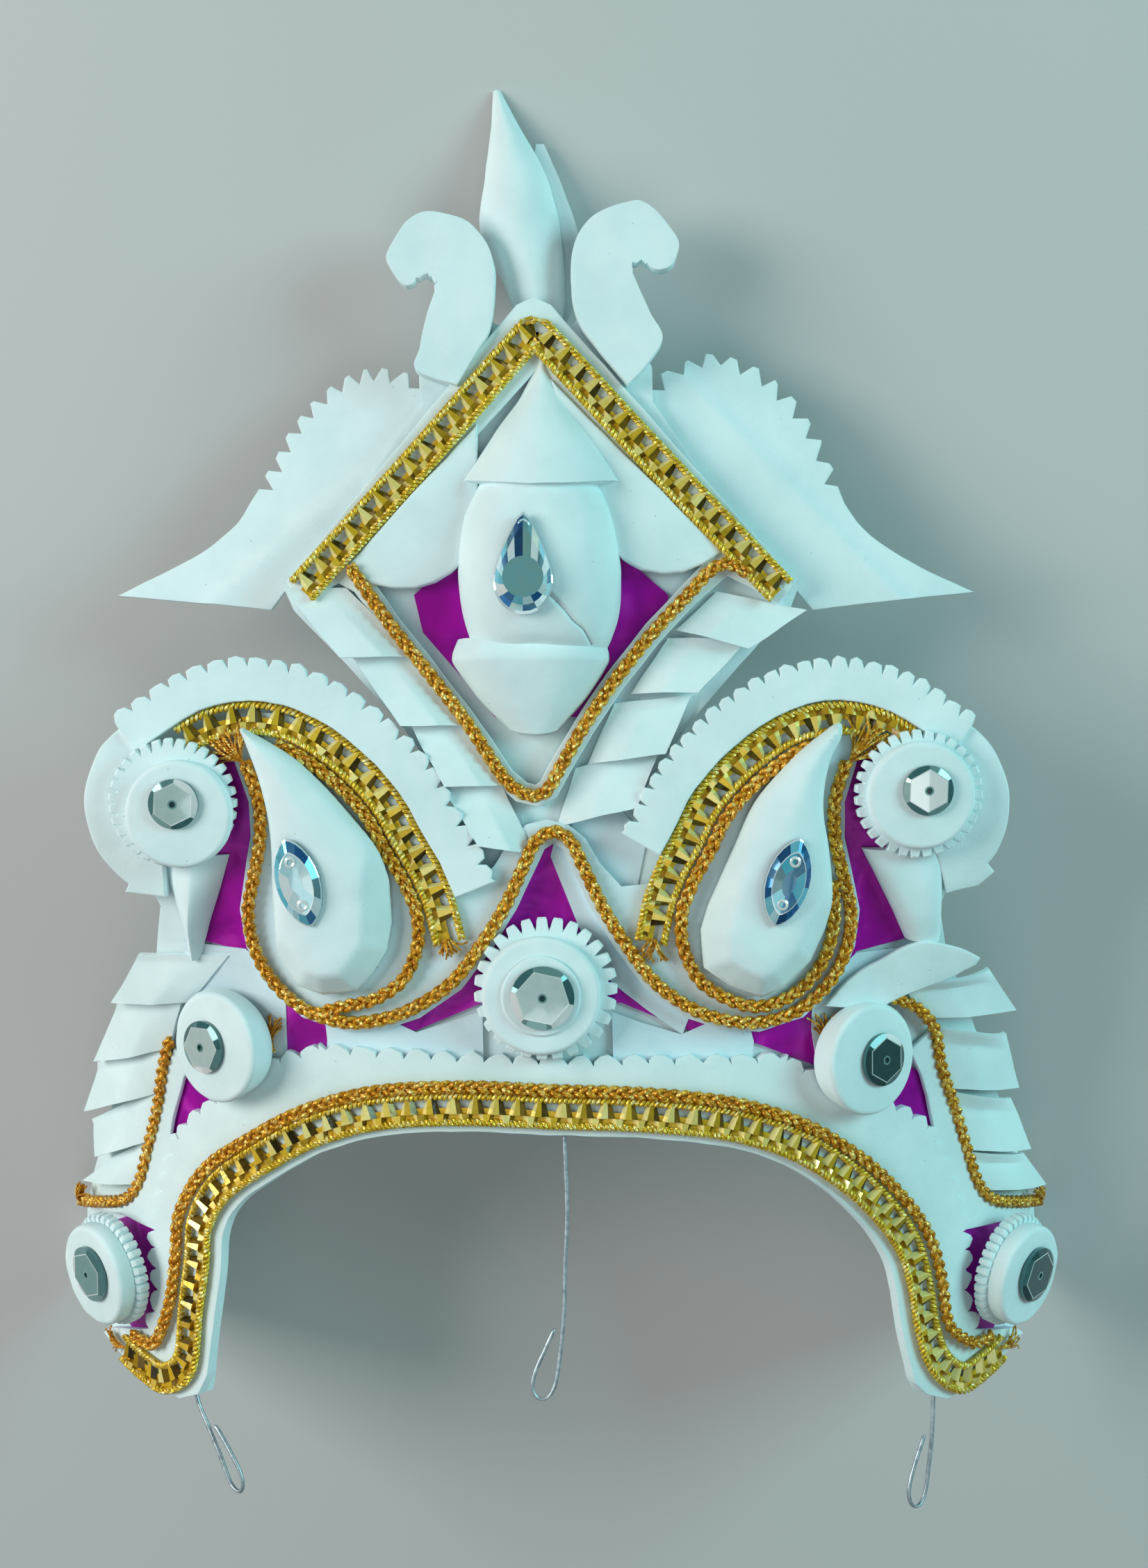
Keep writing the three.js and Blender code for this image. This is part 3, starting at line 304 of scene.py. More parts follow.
# Painted reflections, dark to white, that the facet numbers pick on mirrors and stones.
MIRROR_PAINTED_REFLECTIONS = [(0.008, 0.016, 0.02), (0.05, 0.16, 0.17), (0.3, 0.52, 0.5), (0.97, 1.0, 1.0)]
STONE_PAINTED_REFLECTIONS = [(0.015, 0.02, 0.03), (0.015, 0.15, 0.42), (0.25, 0.39, 0.34), (0.08, 0.5, 0.66),
               (0.5, 0.8, 0.88), (0.97, 0.99, 1.0)]
FINISH.update({
    "mirror": glass_finish("cut mirror", MIRROR_PAINTED_REFLECTIONS, 0.35, 0.07, 0.0),
    "stone": glass_finish("foiled stone", STONE_PAINTED_REFLECTIONS, 0.35, 0.08, 420.0),
    "wire": wire_finish(),
})
print("finishes:", list(FINISH))

# %% [markdown]
# ## Making a piece
# Every piece below ends the same way: its points and faces become one welded mesh with all faces
# turned outward, it takes a finish, it rides with the crown and it hides the plain solids that it
# stands for. Faces that meet at more than `crease` degrees keep a sharp edge, the rest is smooth.

# %% Build, weld and hand over one piece
WELD, THINNEST = 0.002 * MM, 0.0005 * MM


def make(name, points, faces, finish, stands_for, crease=38, attributes=None):
    mesh = bpy.data.meshes.new(name)
    mesh.from_pydata(np.asarray(points).reshape(-1, 3).tolist(), [], faces)
    for key, (kind, domain, values) in (attributes or {}).items():
        layer = mesh.attributes.new(key, kind, domain)
        field = "vector" if kind == "FLOAT_VECTOR" else "value"
        layer.data.foreach_set(field, np.asarray(values, float).ravel())
    work = bmesh.new()
    work.from_mesh(mesh)
    bmesh.ops.remove_doubles(work, verts=work.verts, dist=WELD)
    bmesh.ops.dissolve_degenerate(work, edges=work.edges, dist=THINNEST)
    bmesh.ops.recalc_face_normals(work, faces=work.faces)
    work.to_mesh(mesh)
    work.free()
    mesh.materials.append(FINISH[finish])
    mesh.shade_smooth()
    mesh.set_sharp_from_angle(angle=math.radians(crease))
    piece = bpy.data.objects.new(name, mesh)
    scene.collection.objects.link(piece)
    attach(piece, "root")
    if stands_for:
        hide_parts(*stands_for)
    print(f"{name}: {len(mesh.polygons)} faces")
    return piece


# %% [markdown]
# ## Grids and slabs
# Most shapes are grids of points: a strip, a tube or a disc is a row of points that is repeated.
# `grid_faces` joins neighbours in a grid, `joined` puts several bodies in one mesh and `slab` closes
# a top and an underside. Nothing cut by hand is quite even, so `uneven` moves points by slow noise.

# %% Join points into bodies
noise.seed_set(1)     # without it, noise_vector starts from the clock and differs each run


def grid_faces(rows, columns, start=0, around=False):
    """Four-sided faces between neighbouring points of a grid, closed round the columns if asked."""
    last = columns if around else columns - 1
    row, column = np.mgrid[0:rows - 1, 0:last]
    after = (column + 1) % columns
    corners = [row * columns + column, row * columns + after,
               (row + 1) * columns + after, (row + 1) * columns + column]
    return (np.stack(corners, -1).reshape(-1, 4) + start).tolist()


def joined(parts):
    """Joins lists of points and faces into one list of each."""
    points, faces = [], []
    for part_points, part_faces in parts:
        start = sum(len(p) for p in points)
        points.append(np.asarray(part_points).reshape(-1, 3))
        faces += [[corner + start for corner in face] for face in part_faces]
    return np.vstack(points), faces


def slab(top, under):
    """Closes a drawn top and underside, two grids of the same size, into one laid body."""
    rows, columns = top.shape[:2]
    count = rows * columns
    faces = grid_faces(rows, columns) + grid_faces(rows, columns, count)
    index = np.arange(count).reshape(rows, columns)
    for edge in (index[0], index[-1], index[:, 0], index[:, -1]):
        faces += [[a, b, b + count, a + count] for a, b in zip(edge[:-1].tolist(), edge[1:].tolist())]
    return np.vstack([lay(top).reshape(-1, 3), lay(under).reshape(-1, 3)]), faces


def uneven(points, amount, size, seed=0.0):
    """Moves drawn points by a slow noise, as hand cutting does."""
    shift = Vector((seed, 2 * seed, 3 * seed))
    strays = [noise.noise_vector(Vector(p) / size + shift) for p in np.asarray(points).reshape(-1, 3)]
    return np.asarray(points) + amount * np.array(strays).reshape(np.shape(points))


print("faces of a 3 x 4 grid:", len(grid_faces(3, 4)), "and closed:",
      len(grid_faces(3, 4, around=True)))

# %% [markdown]
# ## Curves
# A cut-out starts as a line drawn on the sheet. Its smooth stretches are curves through a few
# points, measured off in even steps, and a second line can run beside the first at a set distance.

# %% Draw curves
def spline(points, count):
    """A smooth curve through points that may have any number of values."""
    p = np.asarray(points, float)
    p = np.vstack([p[:1], p, p[-1:]])
    t = np.linspace(0, len(points) - 1, count)
    i = np.minimum(t.astype(int), len(points) - 2)
    f = (t - i)[:, None]
    a, b, c, d = p[i], p[i + 1], p[i + 2], p[i + 3]
    square, cube = 2 * a - 5 * b + 4 * c - d, 3 * b - a - 3 * c + d
    return 0.5 * (2 * b + (c - a) * f + square * f ** 2 + cube * f ** 3)


def even(path, spacing, by=3):
    """The same path with points at an even spacing, measured over its first values."""
    run = np.concatenate([[0], np.cumsum(np.linalg.norm(np.diff(path[:, :by], axis=0), axis=1))])
    at = np.linspace(0, run[-1], max(2, round(run[-1] / spacing)) + 1)
    return np.stack([np.interp(at, run, path[:, k]) for k in range(path.shape[1])], -1)


def smooth(points, spacing):
    """A drawn curve through a few points, with points at an even spacing."""
    return even(spline(points, 40 * len(points)), spacing, 2)


def mirrored(points, sign):
    return [(sign * x, y) for x, y in points]


def beside(path, distance):
    """The path moved to its left."""
    path = np.asarray(path, float)
    ahead = unit(np.gradient(path, axis=0))
    return path + distance * np.stack([-ahead[:, 1], ahead[:, 0]], -1)


def arc(x, y, radius, first, last, count):
    angle = np.radians(np.linspace(first, last, count))
    return list(zip(x + radius * np.cos(angle), y + radius * np.sin(angle)))


steps = np.diff(smooth([(0, 0), (5, 2), (9, 0)], 1.0), axis=0)
print("a curve's steps:", np.linalg.norm(steps, axis=1).round(2))

# %% [markdown]
# ## Teeth and cut-outs
# Teeth repeat a short profile along a curve, each a little different, because they are cut by eye.
# A closed outline then gets two faces and a wall, which makes a flat body of even thickness.

# %% Draw teeth and cut sheets
def toothed_edge(points, count, depth, profile, seed):
    """Teeth along a curve: each repeats a profile of places and heights, set back to the left."""
    line = smooth(points, 0.1)
    back = beside(line, depth) - line
    chance = np.random.default_rng(seed)
    edge = []
    for k in range(count):
        for part, height in profile:
            slip, cut = chance.uniform(-1, 1, 2)
            at = round((k + part + 0.06 * slip) / count * (len(line) - 1))
            at = min(max(at, 0), len(line) - 1)
            edge.append(line[at] + back[at] * (1 - height + 0.12 * cut))
    return [*map(tuple, edge), tuple(line[-1])]


def cut_out(outline, low, high):
    """A flat body with an even thickness over a closed outline."""
    work = bmesh.new()
    under = [work.verts.new((x, y, low)) for x, y in outline]
    top = [work.verts.new((x, y, high)) for x, y in outline]
    work.faces.new(top)
    work.faces.new(under[::-1])
    for corners in zip(under, under[1:] + under[:1], top[1:] + top[:1], top):
        work.faces.new(corners)
    bmesh.ops.recalc_face_normals(work, faces=work.faces)
    return work


print("points in four teeth:", len(toothed_edge([(0, 0), (9, 0)], 4, 1.0, [(0, 0), (0.5, 1)], 0)))

# %% [markdown]
# ## Cut sheets
# The board, the ground under the paisleys and the diamond's frame are flat cut-outs of even
# thickness. Each one is peeled off the bend, so that its top is one flat face; then its rims
# are rounded, it is cut into a fine grid, the knife's unevenness is added and it is laid back.
# The result follows the bend smoothly and keeps the measured outline.

# %% Peel, round, cut and lay the sheets
RIM_ANGLE, LEVEL = 0.6, 0.05    # an edge that turns more than this, at an even height, is a rim
KNIFE = 5.0                     # the size of the waves that a hand-held knife leaves


def peeled(solid):
    work = bmesh.new()
    work.from_mesh(frame["nodes"][solid].data)
    bmesh.ops.remove_doubles(work, verts=work.verts, dist=WELD)
    for vert, drawn in zip(work.verts, unlay([v.co[:] for v in work.verts])):
        vert.co = drawn
    return work


def rounded_grid(work, radius, step):
    """Rounds the rims of a flat body and cuts it along a grid of lines."""
    bmesh.ops.dissolve_limit(work, angle_limit=math.radians(1), verts=work.verts, edges=work.edges)
    rims = [e for e in work.edges if e.is_manifold and e.calc_face_angle() > RIM_ANGLE
            and abs(e.verts[0].co.z - e.verts[1].co.z) < LEVEL]
    if radius > 0:
        bmesh.ops.bevel(work, geom=rims, offset=radius, segments=3, profile=0.5, affect="EDGES",
                        clamp_overlap=True)
    bmesh.ops.triangulate(work, faces=work.faces)
    for axis in range(2):
        reach = [v.co[axis] for v in work.verts]
        for line in range(math.ceil(min(reach) / step), math.floor(max(reach) / step) + 1):
            across = Vector((1 - axis, axis, 0))
            bmesh.ops.bisect_plane(work, geom=work.verts[:] + work.edges[:] + work.faces[:],
                                   dist=0.001, plane_co=across * line * step, plane_no=across)


def lay_sheet(solid, finish, radius, step, roughness, shape=None, work=None, extra=False):
    """Lays one sheet on the bend: the peeled solid of that name, or a cut-out given as `work`."""
    work = work or peeled(solid)
    rounded_grid(work, radius, step)
    work.verts.index_update()
    drawn = uneven(np.array([v.co[:] for v in work.verts]), roughness, KNIFE, len(solid))
    if shape:
        drawn = shape(drawn)
    faces = [[v.index for v in face.verts] for face in work.faces]
    work.free()
    return make("cut_" + solid, lay(drawn), faces, finish, [] if extra else [solid])


def cushioned(lift, x, y, size):
    """A shape that lifts the top of a sheet into a low cushion round a point."""
    def shape(drawn):
        away = np.hypot(drawn[:, 0] - x, drawn[:, 1] - y) / size
        drawn[:, 2] += lift * np.clip(1 - away ** 2, 0, 1) * (drawn[:, 2] > 2)
        return drawn
    return shape


lay_sheet("base_board", "board", 0.5, 4.0, 0.1)
lay_sheet("paisley_ground", "card", 0.3, 3.0, 0.12)
lay_sheet("diamond_frame", "pith", 0.3, 3.0, 0.15)

# %% [markdown]
# ## The band over the brow
# Some edges are finer than a plain solid needs: the top of the band over the brow is cut in
# scallops. The band is drawn again along the lines of its solid, from the arch below, round the end
# of one leg, along the scalloped top and down the other leg, and laid in the place of its solid.

# %% Draw the band
BAND_LOW, BAND_HIGH = 0.1, 2.6
ARCH_LEFT = [(-71, -108), (-69.2, -97.4), (-68.4, -90), (-64.6, -83.6), (-55.6, -77), (-46, -71.5),
             (-34, -67.8), (-18, -66.7)]
ARCH_RIGHT = [(17, -68), (33.5, -70), (45.4, -74.2), (55, -80.8), (62, -88), (66.6, -95),
              (68.6, -102.4), (70, -112)]
ARCH = ARCH_LEFT + [(0, -67.4)] + ARCH_RIGHT
LEG_TIPS = {"left": (-73.2, -121), "right": (72.4, -122.5)}
LEG_END = [(75.4, -125.5), (80, -127.5), (86, -126), (93.5, -122.8), (100.5, -119.3), (98, -117.2)]
LEG_RISE = [(89, -113.5), (86.6, -107), (87, -98), (86.4, -91), (84, -82), (80.5, -72.5), (76, -66),
            (66, -58.5), (57, -52.5), (47, -49.4)]
SCALLOP = [(0.0, 0.0), (0.1, 0.5), (0.42, 1.0), (0.7, 0.86), (0.92, 0.4)]
SCALLOP_DEPTH = 2.0

DIP_RIGHT = [(76, -66.6), (66, -60.5), (57, -57), (47, -51.8)]
leg_right = LEG_END + toothed_edge(LEG_RISE[:-4] + DIP_RIGHT, 19, SCALLOP_DEPTH, SCALLOP, 1)
leg_left = LEG_END + toothed_edge(LEG_RISE, 19, SCALLOP_DEPTH, SCALLOP, 2)
BROW_TOP = [(46, -51.4), (24, -51.2), (0, -51.4), (-46, -49.4)]
brow_top = toothed_edge(BROW_TOP, 17, SCALLOP_DEPTH, SCALLOP, 3)
arch_line = smooth([LEG_TIPS["left"], *ARCH, LEG_TIPS["right"]], 2.0)
band = [*map(tuple, arch_line), *leg_right, *brow_top[1:-1], *mirrored(leg_left, -1)[::-1]]
lay_sheet("brow_band", "pith", 0.3, 3.0, 0.15, work=cut_out(band, BAND_LOW, BAND_HIGH))

# %% [markdown]
# ## Crescents, petals, scrolls and curls
# Saw teeth run round each crescent, a scroll is part of a ring with a cut tip, and a curl is a
# closed curve with a torn notch under its hook. A petal is pressed up into a low cushion. Each side
# has its own points where the maker's hand made the two differ, and is mirrored where they agree.

# %% Draw the crescents, the petals, the scrolls and the curls
SIDES = {"left": -1, "right": 1}
GROUND_LOW, ON_GROUND = 1.15, 2.95
SAW = [(0.0, 0.0), (0.14, 0.8), (0.5, 1.0), (0.82, 0.78)]
SAW_TEETH, TOOTH_DEPTH = {"left": 23, "right": 25}, 2.1
CRESCENT_START = (84.2, 13)
CRESCENT = [(80, 15.8), (71, 21.5), (62, 23.9), (54, 23.7), (46, 21.3), (38.5, 16.8), (31, 10.3),
            (25, 3), (21.3, -4), (17.3, -11), (14.5, -18)]
CRESCENT_HALF, CRESCENT_TOP = 4.4, 5.25
crescent_path = smooth(CRESCENT, 4.0)
CRESCENT_END = {"left": CRESCENT[9:], "right": [(18.4, -9)]}
SCROLL_OUT, SCROLL_IN, SCROLL_TOP = 18.4, 8.0, 4.0
SCROLL_FROM, SCROLL_BACK = 66, -70
SCROLL = {
    "left": {"at": (74.3, -0.8), "last": -56, "tip": [(85.4, -17.7), (77, -18.9)]},
    "right": {"at": (74.3, 0), "last": -40, "tip": [(89.8, -13.4), (86.6, -16.4), (80, -18)]},
}
CURL = {
    "left": [(-15.8, 82.6), (-23.7, 85.6), (-22.9, 90.4), (-21.2, 97), (-19.4, 102.4), (-20.5, 104.2),
             (-22, 104.6), (-23.4, 103.2), (-25.2, 102.5), (-27, 103.9), (-29.1, 107.4), (-28.6, 109.8),
             (-25.4, 114.8), (-22.8, 116.8), (-20, 117.3), (-15.6, 116.4), (-11.9, 114.6),
             (-8.9, 110.6), (-7.7, 106.9), (-7.6, 102.7), (-8.8, 94), (-11.4, 89.6)],
    "right": [(18.4, 82.8), (25.3, 91.2), (23.2, 97.3), (20.1, 104.4), (19.6, 105.8), (21.1, 107.4),
              (22.7, 107), (23.9, 105.9), (25.7, 105.6), (28, 106.9), (29.3, 110.6), (28.2, 113.4),
              (25.5, 116.9), (22.6, 119), (20, 119.3), (13.2, 117), (9.7, 113.4), (7.9, 108.3),
              (7.7, 100.9), (8.9, 95.4), (12.4, 90.2)],
}
CURL_LOW, CURL_TOP = 0.35, 4.35
TORN_REACH, TORN_DEPTH = 2.6, 0.45
PETAL = {
    "left": [(-12, 75), (-38.4, 47), (-36.4, 44.6), (-34, 43), (-29.7, 42.2), (-25, 42.1), (-21, 43.3),
             (-18, 45.2), (-16.2, 46.8), (-12, 52)],
    "right": [(3, 84), (36.4, 49.4), (32.5, 47.1), (28.5, 45.4), (24.4, 45), (20.2, 45.8), (16.6, 47.8),
              (12, 52)],
}
PETAL_TOP = 3.5
CUSHION_LIFT, CUSHION_X, CUSHION_Y, CUSHION_SIZE = 1.1, 22, 54, 15


def curl_outline(points):
    """A closed curve with a torn edge in the notch under the hook."""
    line = smooth([*points, points[0]], 0.7)[:-1]
    torn = np.hypot(line[:, 0] - points[5][0], line[:, 1] - points[5][1]) < TORN_REACH
    chance = np.random.default_rng(7)
    return [tuple(p + tear * chance.uniform(-TORN_DEPTH, TORN_DEPTH, 2)) for p, tear in zip(line, torn)]


for side, sign in SIDES.items():
    cushion = cushioned(CUSHION_LIFT, sign * CUSHION_X, CUSHION_Y, CUSHION_SIZE)
    petal = cut_out(PETAL[side], GROUND_LOW, PETAL_TOP)
    lay_sheet("petal_" + side, "pith", 0.5, 2.0, 0.2, shape=cushion, work=petal)
    whole_path = smooth([CRESCENT_START, *CRESCENT[:9], *CRESCENT_END[side]], 4.0)
    saw = toothed_edge(beside(whole_path, -CRESCENT_HALF), SAW_TEETH[side], TOOTH_DEPTH, SAW, 4 + sign)
    crescent = mirrored([*saw, *beside(whole_path, CRESCENT_HALF)[::-1]], sign)
    lay_sheet("crescent_" + side, "pith", 0.3, 2.0, 0.2,
              work=cut_out(crescent, ON_GROUND, CRESCENT_TOP))
    x, y = SCROLL[side]["at"]
    outer = arc(x, y, SCROLL_OUT, SCROLL_FROM, SCROLL[side]["last"], 46)
    inner = arc(x, y, SCROLL_IN, SCROLL_BACK, SCROLL_FROM, 20)
    scroll = cut_out(mirrored([*outer, *SCROLL[side]["tip"], *inner], sign), GROUND_LOW, SCROLL_TOP)
    lay_sheet("scroll_" + side, "pith", 0.45, 2.5, 0.2, work=scroll)
    curl = cut_out(curl_outline(CURL[side]), CURL_LOW, CURL_TOP)
    lay_sheet("curl_" + side, "pith", 0.4, 1.5, 0.2, work=curl)

# %% [markdown]
# ## Purple foil
# The foil is a sheet too thin to round, but it is never flat. Its fine grid is wrinkled by ridged
# noise stretched along one direction, like paper that was stroked down over wet glue.

# %% Wrinkle the foil
FOLD_WIDE, FOLD_LONG, FOLD_SLANT, FOLD_DRIFT = 2.6, 6, 9, 14
FOLD_DEEP, FOLD_LEVEL, FOIL_TOP_FROM = 0.2, 0.35, 0.5


def wrinkled(drawn):
    """Adds ridged noise, slanting over the sheet, to the points of its top."""
    folds = [noise.noise(Vector((x / FOLD_WIDE + y / FOLD_SLANT, y / FOLD_LONG - x / FOLD_DRIFT, 4.0)))
             for x, y, _ in drawn]
    drawn[:, 2] += FOLD_DEEP * (FOLD_LEVEL - np.abs(np.array(folds))) * (drawn[:, 2] > FOIL_TOP_FROM)
    return drawn


lay_sheet("foil_ground", "foil", 0.0, 1.2, 0.0, shape=wrinkled)
lay_sheet("foil_diamond", "foil", 0.0, 0.9, 0.0, shape=wrinkled)
LOW_FOIL_UNDER, LOW_FOIL_TOP = 0.82, 0.95
LOW_FOIL = [(83, -88), (92, -90.5), (99, -94), (97, -112), (92, -118), (84, -115), (83.4, -100)]
for side, sign in SIDES.items():
    patch = cut_out(mirrored(LOW_FOIL, sign), LOW_FOIL_UNDER, LOW_FOIL_TOP)
    lay_sheet("low_foil_" + side, "foil", 0.0, 1.2, 0.0, shape=wrinkled, work=patch, extra=True)

# %% [markdown]
# ## Pale under-sheets
# Between the gold lines only small patches of purple are left open. The rest of the foil is covered
# by thin pale sheets, tucked under the band, the wave's ground and the side cords. They are too thin
# to matter as solids, so they are drawn here, between the foil and the pieces that hold them down.

# %% Lay the under-sheets and the rims beside the side cords
BACKING_LOW, BACKING_TOP = 0.1, 0.35
UNDER_LOW, UNDER_TOP = 0.86, 1.1
RIM_LOW, RIM_TOP = UNDER_TOP + 0.05, 2.2
UNDER_SHEETS = {
    "brow_left": [(-14, -42.5), (-20, -44.6), (-27.4, -47), (-33, -44.4), (-41, -44.6), (-46, -43.6),
                  (-45.6, -49), (-46, -54), (-14, -55)],
    "brow_right": [(12, -55), (40, -54), (40.4, -49), (39.6, -45.6), (38, -44.6), (33, -44.4),
                   (25.8, -47.4), (18, -45), (12, -42.8)],
    "bell_right": [(1.2, -9), (0.5, -11.6), (3.5, -19.6), (5.8, -25.7), (8.4, -30.4), (12.2, -37),
                   (19.5, -42.8), (26, -47.4), (28, -42.6), (20.5, -37.2), (14.5, -29.5), (10, -21.5),
                   (6.5, -13.5), (4, -8.5)],
    "corner_left": [(-75, -29), (-62, -30.4), (-58, -34), (-54, -41.2), (-54.2, -56), (-64, -56),
                    (-76, -42)],
    "corner_right": [(75, -30), (62, -31.2), (58, -35), (52.6, -42), (52.4, -47), (54, -58), (64, -58),
                     (72, -42)],
}
RIMS = {
    "left": [(-78.6, -52), (-80.4, -56), (-82.4, -65), (-85.2, -74.4), (-88, -82.6), (-92, -87.6),
             (-99, -90), (-105, -91.6), (-98, -91.4), (-94, -90.6), (-89.6, -91.6), (-84, -92.6),
             (-80, -84), (-76, -76), (-79.4, -70.6), (-80.5, -71), (-79.8, -67.8), (-78.2, -63),
             (-76.6, -58), (-74, -54)],
    "right": [(77.6, -48), (79.2, -55.6), (82.4, -65), (85.2, -74.4), (88, -82.6), (92, -87.6),
              (99, -90), (105, -91.6), (100.6, -93.4), (93.4, -92.6), (86, -92.4), (80, -86),
              (77.6, -78), (79.3, -77), (78.2, -68.8), (77, -62.5), (75.6, -57.6), (73, -52)],
}
BACKING = [(5, -3), (14, -1), (20, -8), (17, -21), (10, -18), (5, -9)]
for side, sign in SIDES.items():
    backing = cut_out(mirrored(BACKING, sign), BACKING_LOW, BACKING_TOP)
    lay_sheet("backing_" + side, "card", 0.0, 3.0, 0.0, work=backing, extra=True)
for name, outline in UNDER_SHEETS.items():
    lay_sheet("under_" + name, "card", 0.0, 3.0, 0.0, work=cut_out(outline, UNDER_LOW, UNDER_TOP),
              extra=True)
for side, outline in RIMS.items():
    lay_sheet("rim_" + side, "pith", 0.25, 2.5, 0.1, work=cut_out(outline, RIM_LOW, RIM_TOP),
              extra=True)

# %% [markdown]
# ## Wings
# The wings are thin sheets with flat-topped teeth, folded along a crease so that the toothed part
# leans back. They are drawn flat and rounded like the other cut-outs. While they are laid, the part
# beyond the crease line drops by a small rounded step and then tilts, and a ripple is added.

# %% Draw the wings and fold them
WING_LOW, WING_TOP = -4.05, -2.55
WING_TOOTH, WING_TEETH = 2.7, 11
TRAPEZE = [(0.0, 0.0), (0.28, 1.0), (0.55, 0.96)]
WING = {
    "left": {
        "toothed": [(24.8, 86.1), (30, 88), (36, 88), (42, 84.8), (48.4, 78.9), (52.6, 72.4),
                    (56, 66.4), (59.2, 60.6)],
        "plain": [(60.6, 58), (62.6, 55.6), (69.6, 50.2), (78.8, 45.7), (87.4, 41.6)],
        "crease": [(25, 75), (65, 42.2)],
    },
    "right": {
        "toothed": [(24.4, 85.4), (28.2, 87.8), (33, 90.2), (38.4, 90.9), (46.7, 87.3), (53.7, 80.8),
                    (58.4, 72.4), (62.4, 60.3)],
        "plain": [(63.6, 58.4), (65.5, 55.8), (70, 51.9), (77.8, 47.3), (89.2, 42.4)],
        "crease": [(30, 86), (62, 52.6)],
    },
}
WING_INNER = [(55, 38.4), (50.5, 44), (13, 83)]
RIPPLE, RIPPLE_SIZE = 0.4, 14
TILT, CREASE_DROP, CREASE_SOFT = 0.17, 1.0, 1.2


def folded(crease):
    """A shape that tilts a sheet back beyond a crease line, with a slight ripple."""
    first, last = np.array(crease)
    along = unit(last - first)

    def shape(drawn):
        past = np.stack([np.abs(drawn[:, 0]), drawn[:, 1]], -1) - first
        beyond = np.maximum(0, along[0] * past[:, 1] - along[1] * past[:, 0])
        ripple = np.array([noise.noise(Vector((x / RIPPLE_SIZE, y / RIPPLE_SIZE, 1.0))) for x, y,
                           _ in drawn])
        step_down = CREASE_DROP * (1 - np.exp(-beyond / CREASE_SOFT))
        drawn[:, 2] += RIPPLE * ripple - TILT * beyond - step_down
        return drawn
    return shape


for side, sign in SIDES.items():
    row = WING[side]
    teeth = toothed_edge(row["toothed"], WING_TEETH, -WING_TOOTH, TRAPEZE, 11 + sign)
    outline = mirrored([*teeth, *map(tuple, smooth(row["plain"], 2.0)), *WING_INNER], sign)
    wing = cut_out(outline, WING_LOW, WING_TOP)
    lay_sheet("wing_" + side, "pith", 0.2, 1.6, 0.12, shape=folded(row["crease"]), work=wing)

# %% [markdown]
# ## Filling an outline
# A carved top needs points inside its outline, not only on it. `filled` sets a fine grid of points
# inside and joins all of them with triangles, and `domed` gives the triangles a height, an even
# underside and a wall between the two.

# %% Fill outlines with triangles
def edge_distance(points, outline):
    start, end = outline, np.roll(outline, -1, axis=0)
    run = end - start
    off = points[:, None, :] - start[None]
    t = np.clip((off * run).sum(-1) / (run * run).sum(-1), 0, 1)
    return np.linalg.norm(off - t[..., None] * run, axis=-1).min(1)


def filled(outline, spacing):
    """Triangles that fill an outline, with points on a fine grid inside it."""
    low, high = outline.min(0), outline.max(0)
    x, y = np.meshgrid(np.arange(low[0], high[0], spacing), np.arange(low[1], high[1], spacing))
    inner = np.stack([x.ravel(), y.ravel()], -1)
    inner = inner[edge_distance(inner, outline) > 0.4 * spacing]
    every = [Vector(p) for p in np.vstack([outline, inner])]
    flat, _, faces, *_ = geometry.delaunay_2d_cdt(every, [], [list(range(len(outline)))], 1, 1e-5)
    return np.array([p[:] for p in flat]), faces


def domed(outline, spacing, low, height):
    """A laid body over a filled outline, with an even underside and a given height of its top."""
    flat, faces = filled(outline, spacing)
    used = sorted({corner for face in faces for corner in face})
    place = {corner: k for k, corner in enumerate(used)}
    flat, faces = flat[used], [[place[corner] for corner in face] for face in faces]
    count = len(flat)
    once = {}
    for face in faces:
        for a, b in zip(face, face[1:] + face[:1]):
            once[frozenset((a, b))] = None if frozenset((a, b)) in once else (a, b)
    walls = [[a, b, b + count, a + count] for a, b in filter(None, once.values())]
    top = np.column_stack([flat, height(flat)])
    under = np.column_stack([flat, np.full(count, low)])
    return lay(np.vstack([top, under])), faces + [[c + count for c in face] for face in faces] + walls


print("triangles in a square:", len(filled(np.array([(0, 0), (4, 0), (4, 4), (0, 4)], float), 1.0)[1]))

# %% [markdown]
# ## Paisleys
# Each paisley is carved from thick pith: a straight wall, a rounded shoulder and, at the wide end,
# flat facets where the knife took slices off. The outline is drawn as a smooth curve that ends in
# straight cuts. The height of each point follows its distance from the edge, and the planes of the
# knife cuts hold it down.

# %% Carve the drops
PAISLEY = {
    "left": {
        "curve": [(-53.6, -31), (-53.9, -25.4), (-54.3, -18.9), (-54.8, -6), (-56.6, 3.2), (-59.3, 11),
                  (-60.4, 14.2), (-57.2, 12.6), (-50.2, 8.4), (-44.4, 3), (-39, -3.2), (-33.8, -9.8),
                  (-31.6, -16)],
        "cuts": [(-31.4, -24.6), (-32.4, -30), (-35.3, -34.6), (-38.3, -38.2), (-44.9, -38.8),
                 (-49.9, -37)],
    },
    "right": {
        "curve": [(31.6, -21), (37.2, -9.3), (41.8, 0), (49.4, 8.4), (55.6, 13.4), (58.6, 15.2),
                  (58.8, 12.4), (56.6, 8.2), (55.1, 2.4), (54.8, -3), (55.6, -10), (55.8, -18.5),
                  (54.2, -25.7)],
        "cuts": [(51.2, -31.8), (45.6, -37.4), (41, -39.4), (34.9, -37), (30.2, -33.6), (29.9, -26)],
    },
}
SHOULDER, CROWN, SOFT = 6.6, 10.5, 9.0
CUT_FROM, CUT_SLOPE, LOWEST = 5.4, 1.05, 5.0
